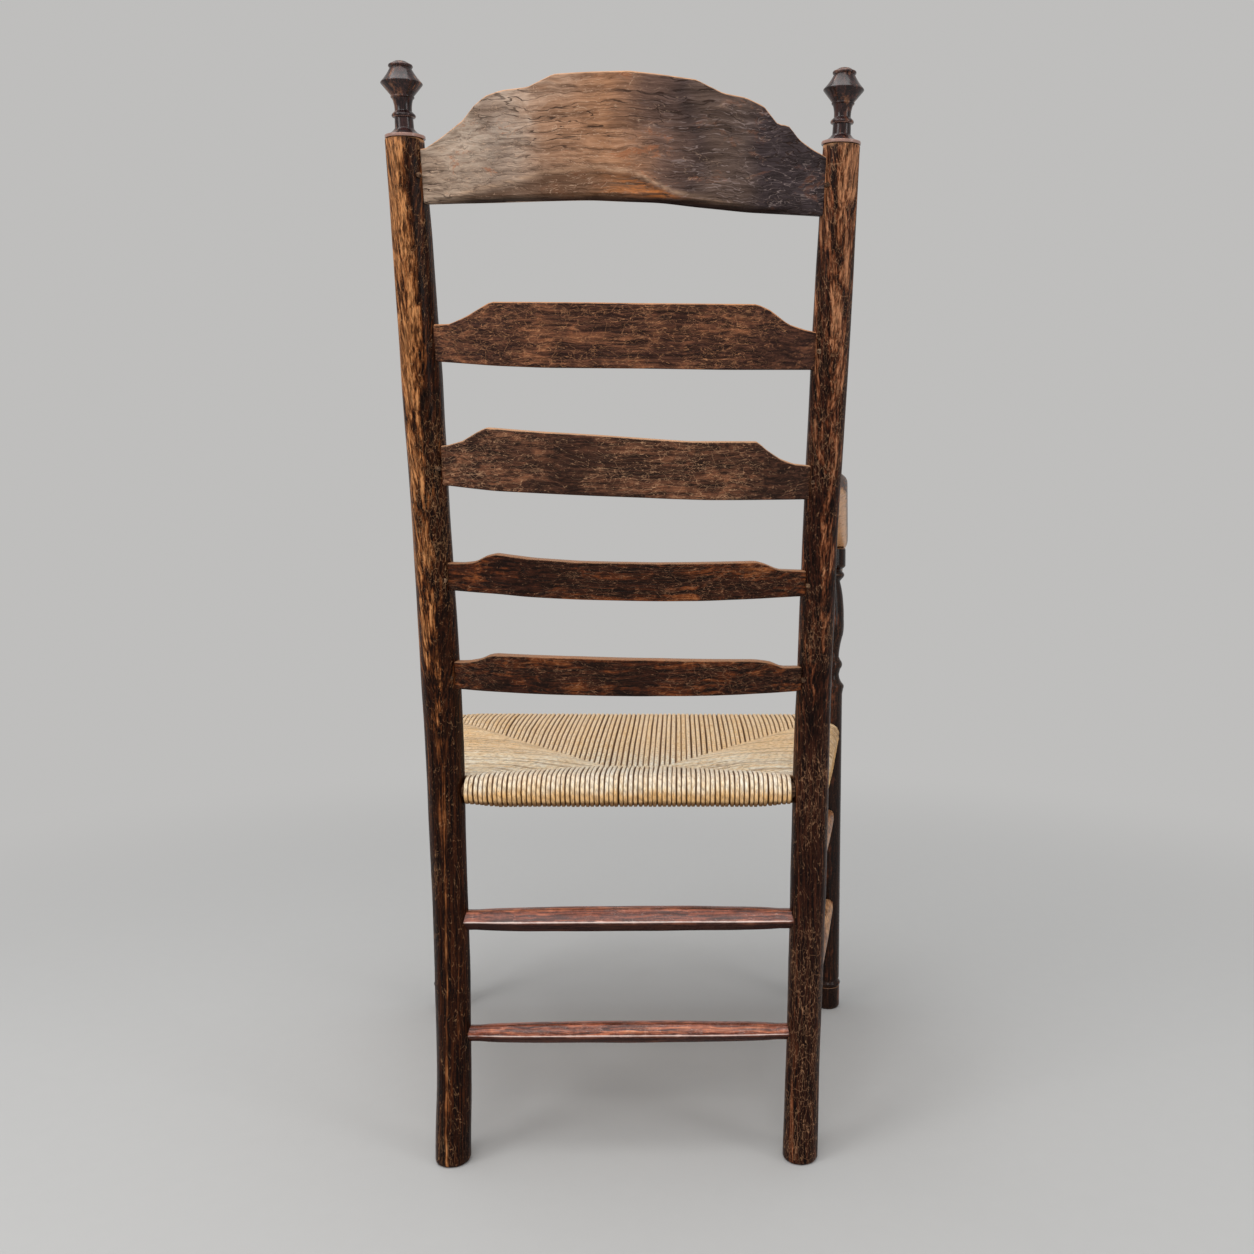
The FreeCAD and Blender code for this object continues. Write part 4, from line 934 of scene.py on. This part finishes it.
def arm(side, word):
    width, thickness, around = (armShape[key] for key in ("width", "thickness", "around"))
    front = frontAxis(side, armShape["seat"])
    rear = rearAxis(side, armShape["rear"]) - Vector((0, 0, thickness / 2))
    lengthwise = rear - front
    forward = lengthwise.normalized()
    sideways = Vector((0, 0, 1)).cross(forward).normalized()
    upwards = forward.cross(sideways)
    shoulder = lengthwise.length - armShape["cope"]
    neck = shoulder - armShape["neckLength"]
    stations = list(armShape["stations"])
    swelled = stations[-1][0]
    parts = (0.2, 0.4, 0.6, 0.8, 1.0)
    stations += [(lerp(swelled, neck, part), armShape["rise"], width, thickness)
                 for part in parts]
    stations += [(lerp(neck, shoulder, part), armShape["rise"],
                  lerp(width, armShape["neckWidth"], smooth(part)), thickness) for part in parts]
    centres = [Vector((station[0], 0, station[1])) for station in stations]

    def rounded(value, power):
        return math.copysign(abs(value) ** power, value)

    def place(column, row):
        before, after = centres[max(0, row - 1)], centres[min(len(centres) - 1, row + 1)]
        tangent = (after - before).normalized()
        normal = Vector((-tangent.z, 0, tangent.x))
        turn = math.tau * column / around
        wide, thick = stations[row][2:]
        # a rounded rectangle: a superellipse across the arm
        c, s = (rounded(value, power) for value, power in
                zip((math.cos(turn), math.sin(turn)), armShape["squareness"]))
        local = (centres[row]
                 + Vector((0, 1, 0)) * (c * wide * armShape["widen"][side] / 2
                                        - side * armShape["outset"][side])
                 + normal * s * thick / 2)
        local.z += unevenness((local.x, local.y, 0), 0.05, 3 + side) * armShape["sway"]
        return front + forward * local.x + sideways * local.y + upwards * local.z

    bm = bmesh.new()
    wear = bm.verts.layers.float.new("edgeWear")
    pale = bm.verts.layers.float.new("pale")
    for order, vert in enumerate(gridOf(bm, around, len(stations) - 1, place)):
        up = math.sin(math.tau * (order % (around + 1)) / around)
        vert[pale] = smooth((-0.35 - up) / 0.4)
        vert[wear] = 0.75 * smooth(1 - abs(up - 0.62) / 0.35)
    closeTube(bm)
    softenEdges(bm, armShape["edge"], 2, 60)
    asPiece("arm" + word.title(), bm, finishes["arm"], "arm_" + word, 50)


for side, word in sides.items():
    arm(side, word)
print("stage: arms")


# the rush seat: every strand from the mitre, over its rail's roll and back underneath
rushSeat = {
    "rearRail": 0.4115, "frontRail": 0.4196, "sideDrop": 0.008, "roll": 0.0188,
    "rollEnd": 0.0155, "apexLeft": (0.026, 0.048), "apexRight": (-0.041, 0.048),
    "dish": 0.0125, "crown": 0.0035, "tuck": 0.0022, "slant": 0.050,
    "frontPitch": 0.0065, "rearPitch": 0.0052, "sidePitch": 0.0062,
    "frontMargin": 0.0175, "rearMargin": 0.0205, "sideMargins": (0.0185, 0.021),
    "thick": 0.0028, "fill": 0.53, "around": 6, "steps": 3, "arcSteps": 6,
    "uneven": (0.12, 0.16, 0.0005), "sink": 0.0012, "overlap": 0.0015,
    "coreDepth": 0.0022, "coreThick": 0.0008,
}


def seatPlane(y):
    part = (y - stance["frontY"]) / (stance["rearY"] - stance["frontY"])
    return lerp(rushSeat["frontRail"], rushSeat["rearRail"], part)


def mitreTop(part):
    # height above the seat's middle plane where two panels meet, part from corner to apex
    roll = lerp(rushSeat["rollEnd"], rushSeat["roll"], smooth(part * 4))
    return roll - rushSeat["dish"] * part ** 0.7


def railEnds(name):
    rear = [rearAxis(side, rushSeat["rearRail"]) for side in sides]
    front = [frontAxis(side, rushSeat["frontRail"]) for side in sides]
    drop = Vector((0, 0, rushSeat["sideDrop"]))
    return {"front": front, "rear": rear, "left": (front[0] - drop, rear[0] - drop),
            "right": (front[1] - drop, rear[1] - drop)}[name]


def mitreAt(corner, apex, part):
    return Vector((lerp(corner.x, apex[0], part), lerp(corner.y, apex[1], part)))


def strandRuns():
    # each strand's place on its rail, its inner end on a mitre and the height there
    runs = []
    apexes = {1: rushSeat["apexLeft"], -1: rushSeat["apexRight"]}
    for name in ("front", "rear"):
        pitch, margin = rushSeat[name + "Pitch"], rushSeat[name + "Margin"]
        ends = dict(zip(sides, railEnds(name)))
        length = (ends[1] - ends[-1]).length
        count = round((length - 2 * margin) / pitch)
        for index in range(count):
            at = lerp(margin, length - margin, (index + 0.5) / count)
            place = ends[1].lerp(ends[-1], at / length)
            place.x += random.uniform(-0.0003, 0.0003)
            side = 1 if place.x > apexes[1][0] else -1 if place.x < apexes[-1][0] else 0
            if side:
                corner, apex = ends[side], apexes[side]
                part = (corner.x - place.x) / (corner.x - apex[0])
                inner = mitreAt(corner, apex, part)
            else:
                part = 1.0
                inner = Vector((place.x, apexes[1][1]))
            runs.append(dict(panel=name, place=place, inner=inner, height=mitreTop(part),
                             pitch=pitch, dives=side == 0,
                             fromEnd=min(at, length - at) - margin))
    for side, name in sides.items():
        start, end = railEnds(name)
        length = (end - start).length
        low, high = rushSeat["sideMargins"][0], length - rushSeat["sideMargins"][1]
        pitch, apex = rushSeat["sidePitch"], apexes[side]
        count = round((high - low) / pitch)
        for index in range(count):
            at = lerp(low, high, (index + 0.5) / count)
            place = start.lerp(end, at / length)
            bowed = math.sin(math.pi * ((at - low) / (high - low)) ** 0.75)
            innerY = place.y + rushSeat["slant"] * bowed + random.uniform(-0.0005, 0.0005)
            corner = start if innerY < apex[1] else end
            part = min(1.0, max(0.0, (innerY - corner.y) / (apex[1] - corner.y)))
            runs.append(dict(panel=name, place=place, inner=mitreAt(corner, apex, part),
                             height=mitreTop(part), pitch=pitch, dives=False,
                             fromEnd=min(at - low, high - at)))
    return runs


def strandPath(run, deeper=0.0):
    # the strand's middle line, from the mitre over the roll and back below the seat
    place, inner = run["place"], run["inner"]
    steps, arcSteps = rushSeat["steps"], rushSeat["arcSteps"]
    inset = rushSeat["thick"] + deeper
    flat = Vector((inner.x - place.x, inner.y - place.y, 0))
    reach = max(0.004, flat.length)
    inward = flat.normalized()
    middle = seatPlane(inner.y) - place.z
    radius = lerp(rushSeat["rollEnd"], rushSeat["roll"], smooth(run["fromEnd"] / 0.05 + 0.15))
    radius -= inset
    depth = run["height"] - inset - (rushSeat["sink"] if run["dives"] else 0.0)
    topEnd, lowEnd = middle + depth, middle - depth
    startAngle = math.pi / 2 - math.atan2(radius - topEnd, reach)
    endAngle = math.pi * 1.5 + math.atan2(radius + lowEnd, reach)
    mitre = reach + rushSeat["overlap"]

    def onRoll(angle):
        return math.cos(angle) * radius, math.sin(angle) * radius

    def lift(part):
        # the panel's soft crown, tucked in where it meets the mitre
        crown = rushSeat["crown"] * math.sin(math.pi * part) * min(1.0, reach / 0.12)
        return crown - rushSeat["tuck"] * max(0, 1 - part * steps * 1.2)

    points = []
    x, z = onRoll(startAngle)
    for step in range(steps):
        part = step / steps
        points.append((lerp(mitre, x, part), lerp(topEnd, z, part) + lift(part)))
    points += [onRoll(lerp(startAngle, endAngle, step / arcSteps))
               for step in range(arcSteps + 1)]
    x, z = onRoll(endAngle)
    for step in range(1, steps + 1):
        part = step / steps
        points.append((lerp(x, mitre, part), lerp(z, lowEnd, part) - lift(1 - part)))
    return [place + inward * a + Vector((0, 0, b)) for a, b in points], inward


def weaveSeat(runs):
    bm = bmesh.new()
    toneLayer = bm.verts.layers.float.new("strandTone")
    uvLayer = bm.loops.layers.uv.new("strandMap")
    around = rushSeat["around"]
    unevenWide, unevenHigh, swaying = rushSeat["uneven"]
    for run in runs:
        path, inward = strandPath(run)
        acrossWay = Vector((0, 0, 1)).cross(inward).normalized()
        tone, wander = random.random(), random.uniform(0, 10)
        if run["panel"] in ("left", "right"):
            tone += 1
        bulk = random.uniform(0.95, 1.05)
        count = len(path) - 1
        distances = [0.0]
        for start, end in zip(path, path[1:]):
            distances.append(distances[-1] + (end - start).length)

        def change(row, scale, layer):
            return noise.noise(Vector((wander, distances[row] * scale, layer)))

        def place(column, row):
            before, after = path[max(0, row - 1)], path[min(count, row + 1)]
            outward = (after - before).normalized().cross(acrossWay).normalized()
            turn = math.tau * column / around
            wide = (run["pitch"] * rushSeat["fill"] * bulk
                    * (1 + unevenWide * change(row, 30, 0)))
            high = rushSeat["thick"] * (1 + unevenHigh * change(row, 40, 5))
            sway = swaying * change(row, 22, 9)
            return (path[row] + acrossWay * (math.cos(turn) * wide + sway)
                    + outward * math.sin(turn) * high)

        verts = gridOf(bm, around, count, place)
        spot = {vert: divmod(order, around + 1) for order, vert in enumerate(verts)}
        for vert in verts:
            vert[toneLayer] = tone
        for face in {face for vert in verts for face in vert.link_faces}:
            for loop in face.loops:
                row, column = spot[loop.vert]
                loop[uvLayer].uv = (column / around, distances[row])
        bmesh.ops.remove_doubles(bm, verts=verts, dist=1e-6)
    closeEnds(bm)
    return bm


def rushFinish():
    rush = Finish("rush")
    tone = rush.attribute("strandTone")  # the side panels' strands have one more
    sidePanel = rush.step(tone, 0.999, 1.001)
    tone = tone - sidePanel
    mapped = rush.node("ShaderNodeUVMap", {"uv_map": "strandMap"}, None, "UV")
    u, v = rush.axis("X", mapped), rush.axis("Y", mapped)
    strandPlace = rush.spot(u * 3, v * 30, tone * 37)
    fibre = rush.cloud(strandPlace, 3.4, 4, 0.62)
    blotch = rush.cloud(rush.place, 42, 4, 0.6)
    patch = rush.cloud(rush.place, 9, 2, 0.5)
    rush.colour = rush.ramp(tone * 0.10 + fibre * 0.58 + blotch * 0.32,
                            [(0.30, (0.56, 0.31, 0.13)), (0.39, (0.90, 0.63, 0.36)),
                             (0.48, (1.0, 0.82, 0.56)), (0.58, (1.0, 0.94, 0.79))])
    golden = rush.step(blotch * 0.55 + patch * 0.45 + (tone - 0.5) * 0.08, 0.48, 0.62)
    rush.paint(golden * 0.30, (0.92, 0.58, 0.27))
    rush.paint(rush.step(rush.axis("Y"), 0.05, -0.06) * 0.50, (0.86, 0.50, 0.19))
    # the rolls turn golden below, then painted shade darkens them underneath
    height = rush.axis("Z")
    rush.paint(rush.step(height + (blotch - 0.5) * 0.010, 0.418, 0.407) * 0.75,
               (0.95, 0.52, 0.17))
    # painted shade under the rolls
    rush.paint(rush.step(height + (blotch - 0.5) * 0.006, 0.4035, 0.3985) * 0.85,
               (0.15, 0.055, 0.015))
    # each strand is twisted from several blades: slanting creases darkened with painted shade,
    # and dark flecks in them
    crease = rush.maths("SINE", (u * 1.0 + v * 105 + tone * 9 + (fibre - 0.5) * 2) * math.tau)
    # painted shade in the twist's creases
    rush.paint(rush.step(crease, 0.50, 0.95) * 0.22, (0.34, 0.17, 0.075))
    dashes = rush.cloud(rush.spot(u * 4, v * 10, tone * 53), 5, 2, 0.6)
    rush.paint(rush.step(dashes, 0.53, 0.66) * 0.42, (0.46, 0.27, 0.12))
    dull = rush.step(tone + (dashes - 0.5) * 1.2, 0.66, 0.86) * sidePanel
    rush.paint(dull * 0.62, (0.42, 0.245, 0.11))
    # the rear roll's top is painted paler, and painted shade darkens the gaps between strands
    rush.paint(rush.step(height, 0.417, 0.427) * rush.step(rush.axis("Y"), 0.10, 0.14) * 0.3,
               (0.98, 0.85, 0.71))
    rush.paint(rush.step(rush.cloud(strandPlace, 9, 3, 0.6), 0.61, 0.68) * 0.85,
               (0.12, 0.055, 0.020))
    # painted shade along each strand's sides, in the gaps to its neighbours
    paintedGapShade = rush.step(abs(rush.maths("COSINE", u * math.tau)), 0.54, 0.94)
    rush.paint(paintedGapShade * 0.90, (0.17, 0.068, 0.016))
    threads = rush.maths("SINE", (u * 9 + v * 60) * math.tau)
    relief = threads * 0.12 + fibre * 0.9 - rush.step(crease, 0.3, 1.0) * 0.9
    return rush.surface(roughness=(0.52 + (fibre - 0.5) * 0.4).clamp(), gloss=0.18,
                        normal=rush.bumped(relief, 0.8, 0.0008))


def rushCore(runs):
    # the packed straw between the strands, a little inside them, painted dark as the shade in the
    # gaps
    straw = Finish("shadedRushStuffing")
    blotch = straw.cloud(straw.place, 120, 4, 0.6)
    # dark colours that stand in for the shade between strands
    straw.colour = straw.mix(blotch, (0.020, 0.010, 0.005), (0.085, 0.045, 0.020))
    material = straw.surface(roughness=0.9, gloss=0.1, normal=straw.bumped(blotch, 0.6, 0.001))
    bm = bmesh.new()
    for panel in ("front", "rear", "left", "right"):
        paths = [strandPath(run, rushSeat["coreDepth"])[0] for run in runs
                 if run["panel"] == panel]
        gridOf(bm, len(paths) - 1, len(paths[0]) - 1, lambda column, row: paths[column][row])
    bmesh.ops.solidify(bm, geom=bm.faces[:], thickness=rushSeat["coreThick"])
    asPiece("rushCore", bm, material, "rush_seat")


strands = strandRuns()
asPiece("rushSeat", weaveSeat(strands), rushFinish(), "rush_seat", 70)
rushCore(strands)
print("stage: rush seat")


# frame nodes that keep their shape get the aged finishes
stays = {"rear_seat_rail": "rail", "front_seat_rail": "rail", "side_seat_rail_left": "rail",
         "side_seat_rail_right": "rail", "slat_pegs": "peg"}
for node, finish in stays.items():
    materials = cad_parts[node].data.materials
    if not materials:
        materials.append(finishes[finish])
    for index in range(len(materials)):
        materials[index] = finishes[finish]
print("stage: frame nodes painted")


# floor, light and camera; each lamp has its place, the height it aims at, size and power
studio = {
    "floor": (0.515, 0.51, 0.50), "fadeStart": 0.7, "fadeEnd": 2.2, "radius": 30,
    "backdrop": (0.52, 0.515, 0.507), "light": (0.97, 0.985, 1.0), "lightLevel": 0.50,
    "lamps": {
        "skyLight": ((0.5, 0.9, 3.4), 0.5, (3.0, 2.6), 60),
        "backLight": ((0.2, 3.2, 2.6), 0.4, (2.4, 1.0), 26),
        "leftLight": ((2.4, 2.1, 1.9), 0.6, (1.2, 1.8), 26),
        "rightLight": ((-2.4, 1.8, 1.3), 0.6, (0.8, 1.8), 14),
    },
}


def studioFloor():
    bm = bmesh.new()
    bmesh.ops.create_circle(bm, cap_ends=True, segments=96, radius=studio["radius"])
    mesh = bpy.data.meshes.new("floor")
    bm.to_mesh(mesh)
    bm.free()
    floor = bpy.data.objects.new("floor", mesh)
    bpy.context.scene.collection.objects.link(floor)
    paint = Finish("floorPaint")
    paint.colour = paint.mix(paint.cloud(paint.place, 40, 4, 0.6), studio["floor"],
                             tuple(value * 0.97 for value in studio["floor"]))
    paint.surface(roughness=0.9, gloss=0.2)
    # far off, the floor turns into the backdrop
    plain = paint.node("ShaderNodeEmission", None, {"Color": studio["backdrop"], "Strength": 1.0})
    far = paint.node("ShaderNodeVectorMath", {"operation": "LENGTH"}, {0: paint.place}, "Value")
    fade = paint.step(far, studio["fadeStart"], studio["fadeEnd"]) * paint.seen()
    blend = paint.node("ShaderNodeMixShader", None, {0: fade, 1: paint.lit, 2: plain})
    paint.feed(paint.output.inputs["Surface"], blend)
    mesh.materials.append(paint.material)


def studioWorld():
    world = bpy.data.worlds.new("studio")
    bpy.context.scene.world = world
    world.use_nodes = True
    sky = Nodes(world.node_tree)
    plain = sky.node("ShaderNodeBackground", None, {"Color": studio["backdrop"]})
    light = sky.node("ShaderNodeBackground", None,
                     {"Color": studio["light"], "Strength": studio["lightLevel"]})
    shown = sky.node("ShaderNodeMixShader", None, {0: sky.seen(), 1: light, 2: plain})
    sky.node("ShaderNodeOutputWorld", None, {"Surface": shown})


def softBox(name, place, aim, size, power):
    data = bpy.data.lights.new(name, "AREA")
    data.shape = "RECTANGLE"
    data.size, data.size_y = size
    data.energy = power
    lamp = bpy.data.objects.new(name, data)
    lamp.location = place
    towards = Vector((0, 0, aim)) - Vector(place)
    lamp.rotation_euler = towards.to_track_quat("-Z", "Y").to_euler()
    bpy.context.scene.collection.objects.link(lamp)


studioFloor()
studioWorld()
for name, words in studio["lamps"].items():
    softBox(name, *words)

# the photograph's viewpoint, behind the chair and a little to the sitter's right
viewpoint = {
    "place": (-0.05812, 1.3027, 0.65411), "turn": -1.29155, "down": 3.246, "roll": 0.27521,
    "focal": 1070.736, "centreX": 702.56, "frame": 1254, "sensor": 36,
}


def camera():
    turn, down, roll = (math.radians(viewpoint[key]) for key in ("turn", "down", "roll"))
    level = Vector((math.sin(turn), -math.cos(turn), 0))
    right = Vector((-math.cos(turn), -math.sin(turn), 0))
    upright = Vector((0, 0, 1))
    forward = level * math.cos(down) - upright * math.sin(down)
    up = upright * math.cos(down) + level * math.sin(down)
    localX = right * math.cos(roll) + up * math.sin(roll)
    localY = up * math.cos(roll) - right * math.sin(roll)
    data = bpy.data.cameras.new("camera")
    data.sensor_width = viewpoint["sensor"]
    data.lens = viewpoint["sensor"] * viewpoint["focal"] / viewpoint["frame"]
    data.shift_x = (viewpoint["frame"] / 2 - viewpoint["centreX"]) / viewpoint["frame"]
    eye = bpy.data.objects.new("camera", data)
    axes = Matrix((localX, localY, -forward)).transposed().to_4x4()
    eye.matrix_world = Matrix.Translation(viewpoint["place"]) @ axes
    bpy.context.scene.collection.objects.link(eye)
    bpy.context.scene.camera = eye


camera()
bpy.context.scene.view_settings.view_transform = "Standard"
print("stage: studio")
